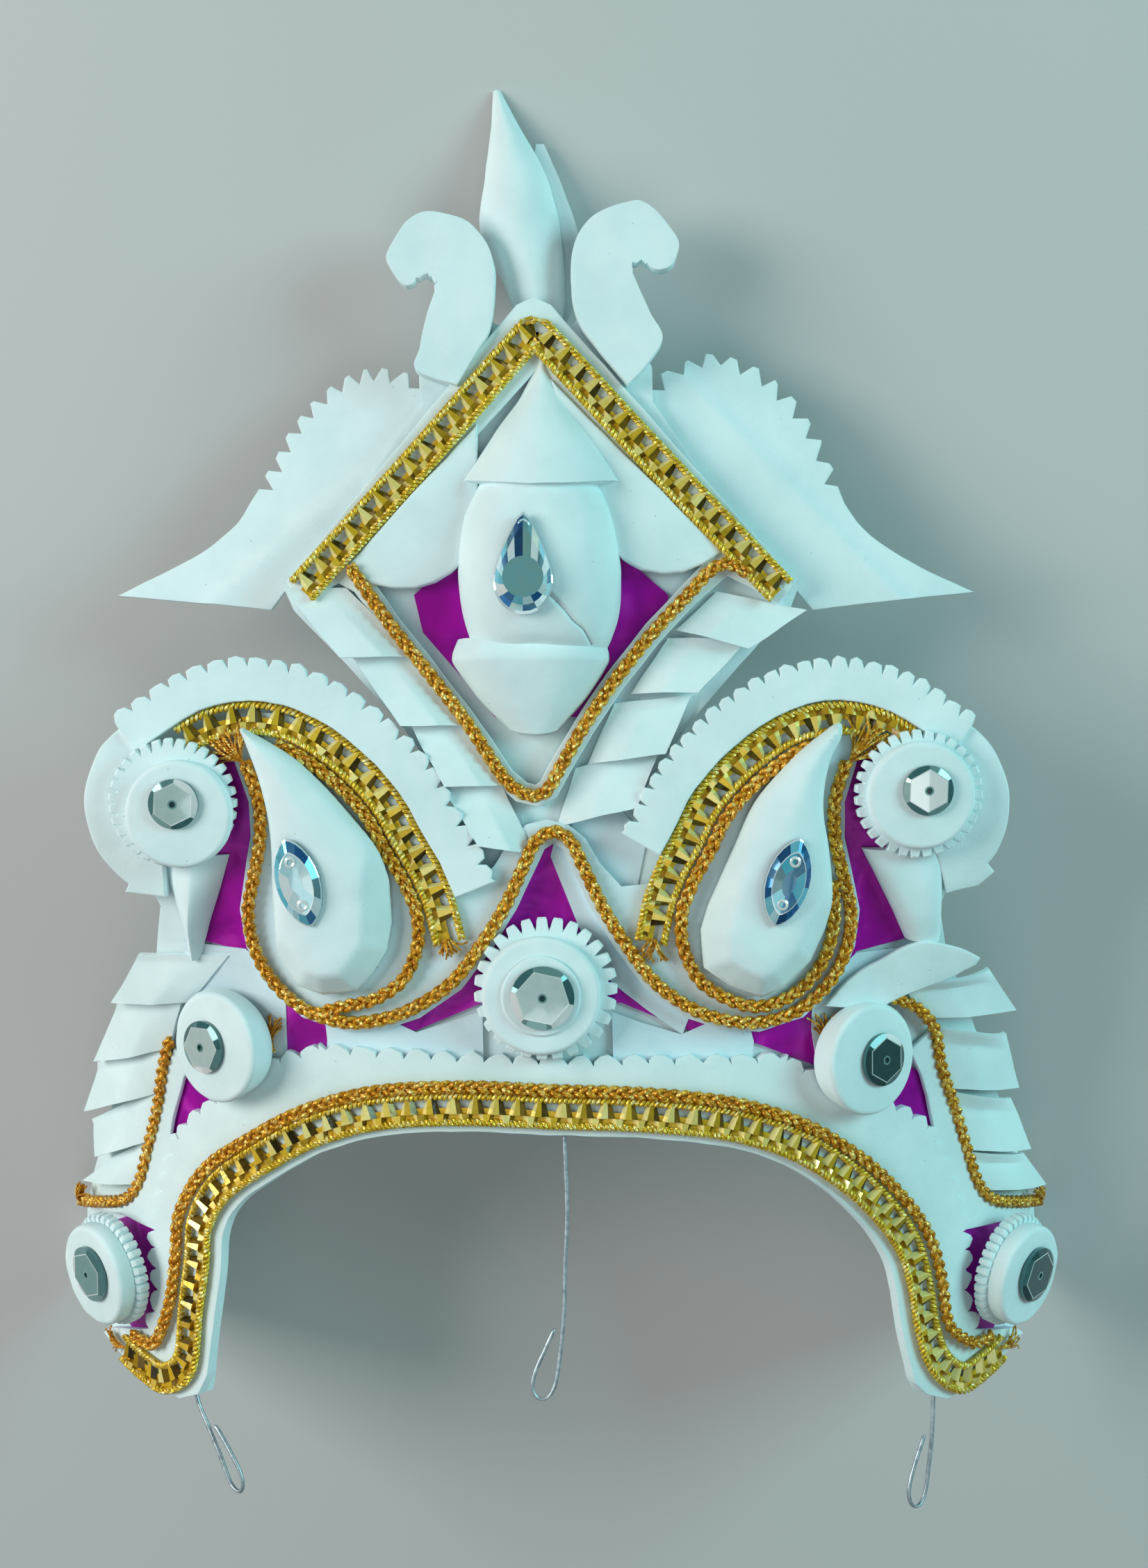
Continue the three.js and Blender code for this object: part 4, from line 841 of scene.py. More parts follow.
DENT, DENT_SIZE = 0.25, 6


def carve_paisley(side):
    curve, cuts = PAISLEY[side]["curve"], PAISLEY[side]["cuts"]
    outline = np.vstack([even(spline(curve, 240), 0.8, 2), cuts])
    inside = np.mean(outline, axis=0)

    def height(flat):
        near = np.clip(edge_distance(flat, outline) / SOFT, 0, 1)
        top = SHOULDER + (CROWN - SHOULDER) * np.sqrt(1 - (1 - near) ** 2)
        corners = np.array([curve[-1], *cuts, curve[0]], float)
        for a, b in zip(corners[:-1], corners[1:]):
            across = unit(np.array([a[1] - b[1], b[0] - a[0]]))
            across *= np.sign(across @ (inside - a))
            top = np.minimum(top, CUT_FROM + CUT_SLOPE * ((flat - a) @ across))
        dents = [DENT * noise.noise(Vector((x / DENT_SIZE, y / DENT_SIZE, 2.0))) for x, y in flat]
        return np.maximum(top, LOWEST) + dents

    return make("carved_paisley_" + side, *domed(outline, 0.9, ON_GROUND, height), "pith",
                ["paisley_" + side], crease=50)


for side in SIDES:
    carve_paisley(side)

# %% [markdown]
# ## Carved sticks
# The pot, the finial and the two tapered legs are halves of round sticks, shaved with a knife.
# Rows give the left and right edge and the rise at each height, a smooth curve runs through them,
# and a power sets how round or how ridged the section is.

# %% Loft a stick
def stick(rows, under, power, sag=0.0, facing=1, around=64, along=90, shape=None):
    """A flat-backed stick from rows of height, left edge, right edge and rise."""
    line = spline(rows, along)
    across = np.cos(np.linspace(math.pi, 0, around + 1))
    up = (1 - np.abs(across) ** power) ** (1 / power)
    t = np.linspace(0, 1, along)[:, None]
    y = line[:, :1] - sag * t * (1 - across ** 2)
    x = line[:, 1:2] + (line[:, 2:3] - line[:, 1:2]) * (across + 1) / 2
    top = np.stack([x, y, under + facing * line[:, 3:4] * up], -1)
    flat = top.copy()
    flat[..., 2] = under
    top = uneven(top, 0.16, 5.0, rows[0][0])
    if shape:
        top = shape(top)
    top[:, [0, -1], 2] = under
    return slab(top, flat)


print("faces of a short stick:", len(stick([(0, -1, 1, 1), (5, -2, 2, 2)], 0.0, 2)[1]))

# %% [markdown]
# ## The pot
# The pot is three sticks: a pointed cap, a full body and a foot. The body has a crack that runs down
# from the stone. It is cut as a narrow groove, deepest on a line of a few points.

# %% Carve the pot
CRACK_DEEP, CRACK_WIDE = 0.9, 0.28
CRACK = np.array([(1.6, 40.2), (4.6, 37.2), (6.3, 35), (8.3, 33.4), (9.7, 30.8)])


def cracked(top):
    flat = top[..., :2].reshape(-1, 2)
    away = np.min([edge_distance(flat, np.array([a, b])) for a, b in zip(CRACK[:-1], CRACK[1:])],
                  axis=0)
    top[..., 2] -= CRACK_DEEP * np.exp(-(away / CRACK_WIDE) ** 2).reshape(top.shape[:2])
    return top


POT = {
    "cap": [(89, 0.9, 1.7, 1.6), (81, -3, 5.2, 3.4), (75, -7.4, 9.2, 6.4), (68, -12.2, 13.8, 9.2),
            (63.6, -15.4, 16.6, 11.3)],
    "body": [(63.4, -11.8, 11.8, 9.2), (56, -15.2, 14.9, 11.6), (47, -16.5, 16.1, 12.6),
             (38, -16, 15.7, 12.1), (32.4, -14.6, 14, 10.4), (29.6, -13.4, 12.6, 8)],
    "foot": [(32, -17, 12.6, 7.4), (28.8, -18.2, 13.3, 9), (26.4, -17.6, 12.6, 8.6),
             (20, -13, 8.4, 6.4), (13.8, -7, 2.6, 3.6)],
}
pot_cap = stick(POT["cap"], GROUND_LOW, 1.9, sag=1.6)
pot_body = stick(POT["body"], GROUND_LOW, 2.3, sag=-0.8, around=110, along=120, shape=cracked)
pot_foot = stick(POT["foot"], GROUND_LOW, 2.3, sag=0.9)
for name, body in (("pot_cap", pot_cap), ("pot_body", pot_body), ("pot_foot", pot_foot)):
    make("carved_" + name, *body, "pith", [name])

# %% [markdown]
# ## The finial and the legs
# The finial is two sticks laid back to back, and the front one leans to the left as it thins. The
# legs taper down from the scrolls: the left one has a ridge and the right one a flat front, so each
# has its own power.

# %% Carve the finial and the legs
FINIAL_UNDER, FINIAL_GAP = -4.6, 0.35
FINIAL = {
    "front": [(97, -3.4, 5.8, 4.4), (104.2, -5.9, 6.4, 6), (115.4, -10.6, 5.9, 6.8),
              (126.7, -9.3, 3.2, 5.6), (135.7, -8, -1.4, 3.6), (144, -7.2, -5.6, 1)],
    "back": [(97, -2.2, 6.6, 3.6), (104, -3.8, 8.8, 4.8), (113, -4.8, 9.7, 5.6), (123, -0.6, 7, 3.6),
             (133.5, 1.2, 2.8, 0.9)],
}
finial_front = stick(FINIAL["front"], FINIAL_UNDER, 1.8)
finial_back = stick(FINIAL["back"], FINIAL_UNDER - FINIAL_GAP, 1.9, facing=-1)
make("carved_finial_front", *finial_front, "pith", ["finial_front"])
make("carved_finial_back", *finial_back, "pith", ["finial_back"])

LEG_ROWS = {
    "left": [(-11, -78.2, -64.4, 3), (-18, -76.8, -66.6, 4.2), (-25, -75, -69.2, 4.2),
             (-32.4, -73.6, -71.6, 1.8)],
    "right": [(-9.6, 63.2, 79.8, 3), (-16, 66.4, 79.6, 4), (-22, 69.4, 79.3, 4.2),
              (-28, 72.2, 79, 3.4)],
}
LEG_POWER = {"left": 1.3, "right": 2.8}
for side in SIDES:
    leg = stick(LEG_ROWS[side], GROUND_LOW, LEG_POWER[side], around=40, along=40)
    make("carved_leg_" + side, *leg, "pith", ["leg_" + side])

# %% [markdown]
# ## Folded strips
# Below the diamond and down both sides, narrow bands of thin pith are folded over and glued like
# tiles, each one lying on the next. Every band is a small grid between its four corners. Its top
# rises from the upper edge to a free lower edge and rolls down at the inner end.

# %% Ribs below the diamond and strips at the sides
RIBS = {
    "left": [
        [(-36.6, 40), (-49.8, 39.7), (-25.6, 28.6), (-40.2, 28)],
        [(-26, 27.7), (-37.4, 27.5), (-15.6, 14.6), (-28.7, 14.5)],
        [(-15.8, 14.2), (-26.4, 14.1), (-7.8, 2.7), (-20.2, 2.5)],
        [(-8.6, 2.2), (-20.4, 2.1), (-2.8, -11), (-13.8, -9.3)],
    ],
    "right": [
        [(33.8, 40.4), (50.9, 36.4), (26.7, 33.9), (41, 29.9)],
        [(23.9, 30.3), (39.7, 30.3), (17.5, 21.3), (30.7, 21.3)],
        [(13, 17), (28.6, 18.8), (8.4, 6.9), (24, 9.1)],
        [(5.2, 4.1), (22.9, 9.5), (2, -5.6), (17.9, -1.7)],
    ],
}
STRIPS = {
    "left": [
        [(-67, -33.3), (-86, -33.4), (-74.4, -41.8), (-91, -41.5)],
        [(-77, -43), (-92.4, -44.8), (-80.1, -52.1), (-97.4, -56)],
        [(-80.4, -52.6), (-99.6, -59.4), (-84, -62.4), (-101.6, -69)],
        [(-84.4, -63.4), (-102, -73), (-86.4, -73.4), (-98.6, -79)],
        [(-87, -75), (-97.6, -80), (-89.6, -83.4), (-103, -85.4)],
    ],
    "right": [
        [(72, -38), (91, -35.2), (75.6, -45), (96.2, -43.6)],
        [(79, -47.4), (96.4, -50.4), (81.4, -61), (98, -62.6)],
        [(82.4, -62), (99, -66), (84.6, -75), (101.8, -78)],
        [(85.4, -75.6), (102.4, -79.4), (90.4, -84.8), (106.6, -87.6)],
    ],
}
BENT_TOP = [(54.2, -41.6), (59.7, -35.9), (67.3, -31.1), (74.3, -27.8), (81.6, -28.6), (86, -30.4)]
BENT_LOW = [(85, -32), (79.8, -35), (71.5, -38.7), (65.3, -42.3)]
BENT_UNDER, BENT_HIGH = 2.75, 3.9
RISE, RISE_FROM, RISE_OVER = 2.4, 64, 20
BEND_TO, ROLL_TO = 0.42, 0.26      # shares of a strip's length and width


def folded_strip(corners, under, sheet, lift, roll, tuck, seed):
    """A thin band tucked under the one above it, with its lower edge standing free."""
    inner_top, outer_top, inner_low, outer_low = np.array(corners, float)
    u, v = np.meshgrid(np.linspace(0, 1, 26), np.linspace(-tuck, 1, 24))
    u, v = u[..., None], v[..., None]
    flat = (1 - v) * ((1 - u) * inner_top + u * outer_top) + v * ((1 - u) * inner_low + u * outer_low)
    u, v = u[..., 0], np.clip(v[..., 0], 0, 1)
    bent = np.clip(u / BEND_TO, 0, 1)
    stand = lift * (0.1 + 0.9 * v ** 0.9) * (0.12 + 0.88 * bent)
    stand += roll * np.clip(1 - v / ROLL_TO, 0, 1) * np.sin(math.pi * np.clip(u, 0, 1)) ** 0.7
    top = uneven(np.dstack([flat, under + sheet + stand]), 0.25, 7.0, seed)
    below = top.copy()
    below[..., 2] -= sheet
    return slab(top, below)


def rising(drawn):
    """Lifts a sheet towards its outer end."""
    drawn[:, 2] += RISE * np.clip((np.abs(drawn[:, 0]) - RISE_FROM) / RISE_OVER, 0, 1)
    return drawn


RIB_FOLDS = {side: {"under": under, "sheet": 1.1, "lift": 3.4, "roll": 0.0, "tuck": 0.22}
             for side, under in (("left", 1.6), ("right", 0.4))}
STRIP_FOLDS = {side: {"under": 0.4, "sheet": 0.9, "lift": 2.8, "roll": roll, "tuck": tuck}
               for side, roll, tuck in (("left", 0.0, 0.2), ("right", 2.2, 0.02))}
for side in SIDES:
    ribs = [folded_strip(corners, seed=k, **RIB_FOLDS[side]) for k, corners in enumerate(RIBS[side])]
    make("folded_ribs_" + side, *joined(ribs), "pith", ["ribs_" + side], crease=30)
    strips = [folded_strip(corners, seed=k + 9, **STRIP_FOLDS[side]) for k,
              corners in enumerate(STRIPS[side])]
    make("folded_strips_" + side, *joined(strips), "pith", ["side_strips_" + side], crease=30)
bent_outline = [tuple(p) for line in (BENT_TOP, BENT_LOW) for p in smooth(line, 1.5)]
bent_strip = cut_out(bent_outline, BENT_UNDER, BENT_HIGH)
lay_sheet("bent_strip", "pith", 0.3, 2.0, 0.2, shape=rising, work=bent_strip, extra=True)

# %% [markdown]
# ## Seats and rings
# A round piece is turned: rings of points with their own radius and height are joined into a body.
# It is built flat, and `seat` gives the place and turn with which it stands on the bend, tipped
# outward and down by small angles.

# %% Seats, rings and turned discs
ROUND = 324      # points round a turned piece


def seat(x, y, h, outward=0.0, down=0.0, turn=0.0):
    """Matrix that stands a piece built flat, in millimetres, on the bend."""
    normal = Vector(normal_at(np.array(x, float), np.array(y, float)))
    across = (Vector((1, 0, 0)) - normal.x * normal).normalized()
    basis = Matrix((across, normal.cross(across), normal)).transposed()
    stand = Matrix(TURN.tolist()) @ basis
    spin = Matrix.Rotation(outward * math.copysign(1, x), 3, "Y") @ Matrix.Rotation(down, 3, "X")
    spin = spin @ Matrix.Rotation(turn, 3, "Z")
    return Matrix.Translation(lay((x, y, h)).tolist()) @ (stand @ spin).to_4x4() @ Matrix.Scale(MM, 4)


def moved(matrix, points):
    turn = np.array(matrix.to_3x3())
    return np.asarray(points) @ turn.T + np.array(matrix.translation)


def turned_disc(rings):
    """A closed round body from rings of points, each ring drawn once round."""
    rings = np.array(rings)
    return rings.reshape(-1, 3), grid_faces(len(rings), rings.shape[1], around=True)


def ring(radius, z, count=ROUND):
    angle = np.linspace(0, 2 * math.pi, count, endpoint=False)
    radius = np.broadcast_to(radius, angle.shape)
    return np.stack([radius * np.cos(angle), radius * np.sin(angle), np.broadcast_to(z, angle.shape)],
                    -1)


print("faces of a plain disc:", len(turned_disc([ring(0, 0), ring(5, 0), ring(5, 1), ring(0, 1)])[1]))

# %% [markdown]
# ## Rosettes
# A rosette is a disc punched with fine teeth under a smooth button with rounded edges; the middle
# pair have no teeth and are cut as a wedge, so they face outward. Each one returns the seat of the
# mirror that will be glued on it.

# %% Turn the rosettes
ROSETTES = [
    {"name": "upper", "left": (-74.3, 0), "right": (74, 1.6), "h": 4.4, "toothed": 12.9, "teeth": 31,
     "tooth": 1.3, "thin": 2.2, "smooth": 10.8, "thick": 2.7, "mirror": 5, "shift": {"left": (1.8, -2)},
     "tip": (0, 0)},
    {"name": "middle", "left": (-66.4, -49.4), "right": (62.2, -52), "h": 3.3, "toothed": 0,
     "smooth": 11.4, "thick": 2.4, "mirror": 5.4, "tip": (0.24, -0.06)},
    {"name": "low", "left": (-92.2, -101.2), "right": (92.6, -101.4), "h": 3.3, "toothed": 12.3,
     "teeth": 38,
     "tooth": 1.2, "thin": 2.6, "smooth": 11, "thick": 4, "mirror": 6, "tip": (-0.03, 0.15)},
    {"name": "centre", "": (-1.1, -37.8), "h": 2.95, "toothed": 14.3, "teeth": 27, "tooth": 1.8,
     "thin": 2.4,
     "smooth": 11.8, "thick": 2.6, "cap": 0.8, "mirror": 6.3, "shift": {"": (-0.9, -1.2)},
     "tip": (0, 0)},
]
BUTTON_EDGE, CAP_EDGE, CAP_RADIUS = 1.1, 0.5, 7.9
SUNK, MIRROR_GAP, LIFT_MOST = 0.2, 0.3, 1.9
KNIFE_ROUND = (0.12, 4)     # how far and over what size a rosette strays from round


def button_rings(radius, low, high, edge):
    bend = np.linspace(0, math.pi / 2, 7)
    rim = [ring(radius - edge * (1 - math.cos(b)), high - edge * (1 - math.sin(b))) for b in bend]
    return [ring(0, low), ring(radius - 0.25, low), ring(radius, low + 0.4), *rim, ring(0, high + 0.15)]


def toothed_rings(row):
    """A disc with square teeth between narrow slits, each slit a little different."""
    angle = np.linspace(0, 2 * math.pi, ROUND, endpoint=False)
    place = angle * row["teeth"] / (2 * math.pi)
    depth = np.array([1 + 0.35 * noise.noise(Vector((math.floor(p) * 1.7, row["toothed"], 0)))
                      for p in place])
    slit = np.clip(1.3 - np.abs(place % 1 - 0.5) / 0.16, 0, 1)
    rim = row["toothed"] - row["tooth"] * 1.2 * depth * slit
    thin = row["thin"]
    return [ring(0, 0), ring(rim - 0.25, 0), ring(rim, 0.25), ring(rim, thin - 0.45),
            ring(rim - 0.45, thin),
            ring(row["smooth"] - 2, thin + 0.1), ring(0, thin + 0.1)]


def rosette(row, side):
    suffix = "_" + side if side else ""
    x, y = row[side]
    outward, down = row["tip"]
    lift = min(LIFT_MOST, max(row["toothed"], row["smooth"]) * math.sin(math.hypot(outward, down)))
    if row["toothed"]:
        stand = seat(x, y, row["h"] + lift, outward, down)
        top = row["thin"] - SUNK + row["thick"]
        aside = np.array([*row.get("shift", {}).get(side, (0, 0)), 0])
        button, sides = turned_disc(button_rings(row["smooth"], row["thin"], top, BUTTON_EDGE))
        parts = [turned_disc(toothed_rings(row)), (button + aside, sides)]
        if "cap" in row:
            cap, sides = turned_disc(button_rings(CAP_RADIUS, top, top + row["cap"], CAP_EDGE))
            parts.append((cap + aside, sides))
            top += row["cap"]
        parts = [(moved(stand, uneven(points, *KNIFE_ROUND, x)), faces) for points, faces in parts]
    else:
        stand = seat(x, y, row["h"] + row["thick"] + lift, outward, down)
        top = 0
        foot = [moved(seat(x, y, row["h"]), ring(row["smooth"] * r, 0)) for r in (0, 0.98, 1)]
        button = button_rings(row["smooth"], -2, 0, BUTTON_EDGE)[3:]
        rim = [moved(stand, uneven(points, *KNIFE_ROUND, x)) for points in button]
        parts = [turned_disc(foot + rim)]
    solid = f"{row['name']}_rosette{suffix}"
    make("turned_" + solid, *joined(parts), "pith", [solid])
    return stand @ Matrix.Translation((0, 0, top + MIRROR_GAP))


mirror_seats = {}
for row in ROSETTES:
    for side in ("left", "right", ""):
        if side in row:
            mirror_seats[row["name"], side] = (rosette(row, side), row["mirror"])
print("rosettes:", len(mirror_seats))

# %% [markdown]
# ## Mirrors
# A mirror is ground to a six-sided table inside a round edge, with six bevels and a pierced middle.
# All facets stay flat, and each one gets a number that the finish turns into a painted reflection. The
# tints are
# chosen one by one: a real facet shows the room, and here that reflection is painted into the finish.

# %% Cut the mirrors
def cut_glass(name, body, stand, finish, stands_for):
    points, faces, facet_painted_light = body
    make(name, moved(stand, points), faces, finish, stands_for, crease=4,
         attributes={"facet_painted_light": ("FLOAT", "FACE", facet_painted_light)})


def banded(rings, painted_tints):
    """Faces between rings of points, both ends closed, with a row of painted light tints for each band.
    """
    points, faces, facet_painted_light, start = np.vstack(rings), [list(range(len(rings[0])))], [0.1], 0
    for lower, row in zip(rings[:-1], painted_tints):
        n = len(lower)
        for i in range(n):
            j = (i + 1) % n
            faces.append([start + i, start + j, start + n + j, start + n + i])
            facet_painted_light.append(row[i * len(row) // n])
        start += n
    faces.append(list(range(start, start + len(rings[-1]))))
    return points, faces, facet_painted_light + [painted_tints[-1][0]]


def hexagon(radius, z, count):
    """Points round a six-sided outline, with the corners at every sixth of them."""
    corners = np.vstack([ring(radius, z, 6), ring(radius, z, 6)[:1]])
    return np.vstack([corners[k] + (corners[k + 1] - corners[k]) * t
                      for k in range(6) for t in np.arange(count // 6)[:, None] / (count // 6)])


# Painted reflections: the tint of each mirror's table and six bevels.
MIRRORS = {
    ("upper", "left"): {"at": (1.2, 0.3), "turn": 0.45, "table": 0.74,
                        "bevels": [0.97, 0.4, 0.35, 0.6, 0.3, 0.97]},
    ("upper", "right"): {"at": (1, 1.2), "turn": 0.5, "table": 1.0,
                         "bevels": [0.5, 0.3, 0.7, 0.35, 0.5, 0.3]},
    ("middle", "left"): {"at": (-2, 0), "turn": 0.1, "table": 0.78,
                         "bevels": [0.25, 0.3, 0.2, 0.55, 0.97, 0.4]},
    ("middle", "right"): {"at": (2, 0), "turn": 0.5, "table": 0.14,
                          "bevels": [0.97, 0.2, 0.1, 0.12, 0.2, 0.15]},
    ("low", "left"): {"at": (0.6, 1), "turn": 0.3, "table": 0.45,
                      "bevels": [0.35, 0.4, 0.97, 0.97, 0.45, 0.4]},
    ("low", "right"): {"at": (1, 0.6), "turn": 0.2, "table": 0.12,
                       "bevels": [0.2, 0.15, 0.3, 0.1, 0.15, 0.25]},
    ("centre", ""): {"at": (-0.6, -1.4), "turn": 0.84, "table": 0.78,
                     "bevels": [0.45, 0.3, 1.0, 0.5, 1.0, 0.25]},
}
MIRROR_POINTS, TABLE_OUT, TABLE_IN = 36, 0.87, 0.83
HOLE = [(0.95, 1.4), (0.6, 1.4), (0.5, 1.1)]      # radius and height of the rings round the hole
for (name, side), (stand, radius) in mirror_seats.items():
    suffix = "_" + side if side else ""
    look = MIRRORS[name, side]
    rings = [ring(radius, z, MIRROR_POINTS) for z in (0, 0.8)]
    rings += [hexagon(share * radius, z, MIRROR_POINTS) for share,
              z in ((TABLE_OUT, 1.3), (TABLE_IN, 1.34))]
    rings += [ring(hole, z, MIRROR_POINTS) for hole, z in HOLE]
    # Painted reflections for each band, from the edge to the hole, whose floor is painted dark.
    painted_tints = [[0.3], look["bevels"], [0.85], [look["table"]], [0.5], [0.1]]
    place = stand @ Matrix.Translation((*look["at"], 0)) @ Matrix.Rotation(look["turn"], 4, "Z")
    solid = f"{name}_mirror{suffix}"
    cut_glass("cut_" + solid, banded(rings, painted_tints), place, "mirror", [solid])

# %% [markdown]
# ## Stones
# The drop stone has a round table low down, a column of two long facets above it and a thread hole
# at the top; the boat stones have a bevelled edge round a cloudy table with two thread holes. They
# are built in bands like the mirrors, between smaller and smaller copies of the stone's outline. Each
# facet carries a painted reflection.

# %% Cut the stones
def drop_outline(count):
    right = [(0, 10), (1.1, 9), (3, 5.4), (4.7, 1.6), (5.75, -2.2), (5.6, -5.4), (4.2, -8.1),
             (2.2, -9.6), (0, -10)]
    line = smooth([*right, *mirrored(right, -1)[-2:0:-1], right[0]], 0.1)
    return line[np.linspace(0, len(line) - 1, count, endpoint=False).round().astype(int)]


def boat_outline(length, width, count):
    angle = np.linspace(0, 2 * math.pi, count, endpoint=False)
    across = np.sin(angle)
    return np.stack([width / 2 * across * np.abs(across) ** 0.35, length / 2 * np.cos(angle)], -1)


def stone_ring(outline, z):
    return np.column_stack([outline, np.full(len(outline), z)])


def eyelet(x, y, z, radius, painted_wall_tint):
    """The ring round a thread hole, standing a little above the stone, with a painted highlight on its
    top.
    """
    rings = [ring(r, h, 20) for r, h in ((1, 0), (1, 0.35), (0.78, 0.5), (0.5, 0.4), (0.42, 0.15))]
    rings = [np.array([x, y, z]) + r * np.array([radius, radius, 1]) for r in rings]
    return banded(rings, [[painted_wall_tint], [painted_wall_tint], [0.9], [0.3], [0.3]])


def together(bodies):
    points, faces = joined([(p, f) for p, f, _ in bodies])
    return points, faces, [t for _, _, facet_painted_light in bodies for t in facet_painted_light]


DROP_POINTS, DROP_SEAT = 32, (-3.2, 46, 14.1)
TABLE_RADIUS, TABLE_Y, COLUMN = 4.0, -2.9, 3.2
drop = drop_outline(DROP_POINTS)
clock = np.linspace(0, 2 * math.pi, DROP_POINTS, endpoint=False)
low_table = np.stack([TABLE_RADIUS * np.sin(clock), TABLE_Y + TABLE_RADIUS * np.cos(clock)], -1)
column = np.stack([0 * clock, COLUMN * np.clip(np.cos(clock), 0, 1) ** 6], -1)
half_way = 0.45 * drop + 0.55 * (low_table + column)
# Painted reflections: a tint for each facet of each band of the drop stone.
drop_body = banded(
    [stone_ring(drop, 0), stone_ring(drop, 0.7), stone_ring(0.94 * drop, 0.95),
     stone_ring(half_way, 2.4), stone_ring(low_table, 3.4)],
    [[0.5], [0.85],
     [0.42, 0.9, 0.7, 1.0, 0.25, 0.75, 0.95, 0.2, 0.8, 0.15, 0.9, 0.6, 0.85, 0.6, 0.22, 0.05],
     [0.4, 0.95, 0.3, 0.98, 0.78, 0.9, 0.1, 0.8, 0.6, 0.2, 0.95, 0.5, 0.75, 0.22, 0.85, 0.03],
     [0.42]])
stones = [drop_body, eyelet(0.1, 7.4, 1.1, 1.15, 0.75), eyelet(0, -8.2, 1.0, 0.8, 0.8)]
cut_glass("cut_drop_stone", together(stones), seat(*DROP_SEAT), "stone", ["drop_stone"])
# Painted reflections: the tints of each boat stone's rim and table facets.
BOATS = {
    "left": {"x": -48.3, "turn": 0.28,
             "rim": [0.2, 0.1, 0.22, 0.3, 0.9, 0.2, 0.6, 0.75, 0.55, 0.62, 0.5, 0.6],
             "table": [0.8, 0.86, 0.78, 0.84, 0.92, 0.76]},
    "right": {"x": 46.2, "turn": -0.28,
              "rim": [0.05, 0.2, 0.1, 0.6, 0.15, 0.05, 0.75, 0.62, 0.1, 0.22, 0.05, 0.6],
              "table": [0.24, 0.6, 0.22, 0.66, 0.3, 0.55]},
}
BOAT_LONG, BOAT_WIDE, BOAT_Y, BOAT_HEIGHT, BOAT_HOLE = 18, 9, -15.5, 10.75, 4.4
BOAT_RINGS = [(1, 0), (1, 0.7), (0.96, 0.9), (0.72, 2.0), (0.69, 2.05), (0.3, 2.2)]
boat = boat_outline(BOAT_LONG, BOAT_WIDE, 24)
for side, look in BOATS.items():
    painted_tints = [[0.3], [0.9], look["rim"], [0.95], look["table"], look["table"]]
    body = banded([stone_ring(share * boat, z) for share, z in BOAT_RINGS], painted_tints)
    stones = [body, *(eyelet(0, y, 1.85, 1.15, 0.98) for y in (BOAT_HOLE, -BOAT_HOLE))]
    stand = seat(look["x"], BOAT_Y, BOAT_HEIGHT, turn=look["turn"])
    cut_glass("cut_boat_stone_" + side, together(stones), stand, "stone", ["boat_stone_" + side])

# %% [markdown]
# ## Routes of ribbon and cord
# Ribbons and cords are glued along routes on the crown. A route is drawn flat, laid on the bend and
# measured off in even steps; at each step it knows its place, the way across and the way up, so
# anything can be wound along it.

# %% Routes on the bend
WAVE = [(3.5, -8.5), (6, -13.5), (9.5, -21), (14, -28.5), (20, -36.5), (27.5, -41.8), (34, -44.1),
        (41, -44.6), (49, -42), (55.5, -36), (59, -29), (60, -22), (58.7, -15), (57.3, -7.5), (57.5, 0),
        (60, 7.5)]
LOOP_END = [(26.2, -29), (29.2, -36), (35, -40), (41, -41.4), (47, -39.4), (51.8, -35.3), (55.2, -29.5),
            (56.6, -23), (56.5, -16)]
V_CORD = [(-38, 46.4), (-35.6, 42.8), (-29.9, 34.4), (-23.3, 25.8), (-15.5, 15.3), (-8.6, 4.6),
          (-5, 1.4), (-2, 0.7), (0.4, 2), (3, 6.4), (7.8, 14.4), (14.3, 23.7), (22.4, 33.6),
          (29.4, 40.9), (33.6, 45.4), (36.6, 46.9), (39.4, 46.4), (41.4, 44.8)]
TRIM_INSET, CORD_INSET = 4.7, 9.2
TRIM_TURN = [(77.4, -119), (82.5, -123.4), (88, -122), (93, -119.6)]
CORD_TURN = [(83.8, -115.6), (87, -116.4), (89.8, -115.8)]
SIDE_TOP = {
    "left": [(79, -49.8), (81, -55.6)],
    "right": [(68.4, -40), (74.5, -42.8), (78.4, -47.8), (79.8, -55.4)],
}
SIDE_REST = [(83, -65), (85.8, -74.4), (88.6, -82.6), (92.4, -87), (99, -89.2), (107, -91.4)]
CORD_HEIGHT, SIDE_HEIGHT, TRIM_LOW = 4.3, 2.5, 2.95


def brow_path(inset, turn):
    return [*mirrored(turn, -1)[::-1], *map(tuple, beside(ARCH, inset)), *turn]


def route(points, h, spacing):
    """Steps along a drawn path: place, across, up (all in metres) and length in millimetres."""
    flat = spline(points, 30 * len(points))
    low = lay(np.column_stack([flat, np.full(len(flat), h)]))
    high = lay(np.column_stack([flat, np.full(len(flat), h + 1)]))
    steps = even(np.hstack([low, high - low]), spacing * MM)
    place, up = steps[:, :3], steps[:, 3:]
    ahead = unit(np.gradient(place, axis=0))
    up = unit(up - (up * ahead).sum(-1, keepdims=True) * ahead)
    return {"place": place, "across": np.cross(ahead, up), "up": up,
            "run": np.arange(len(place)) * spacing}


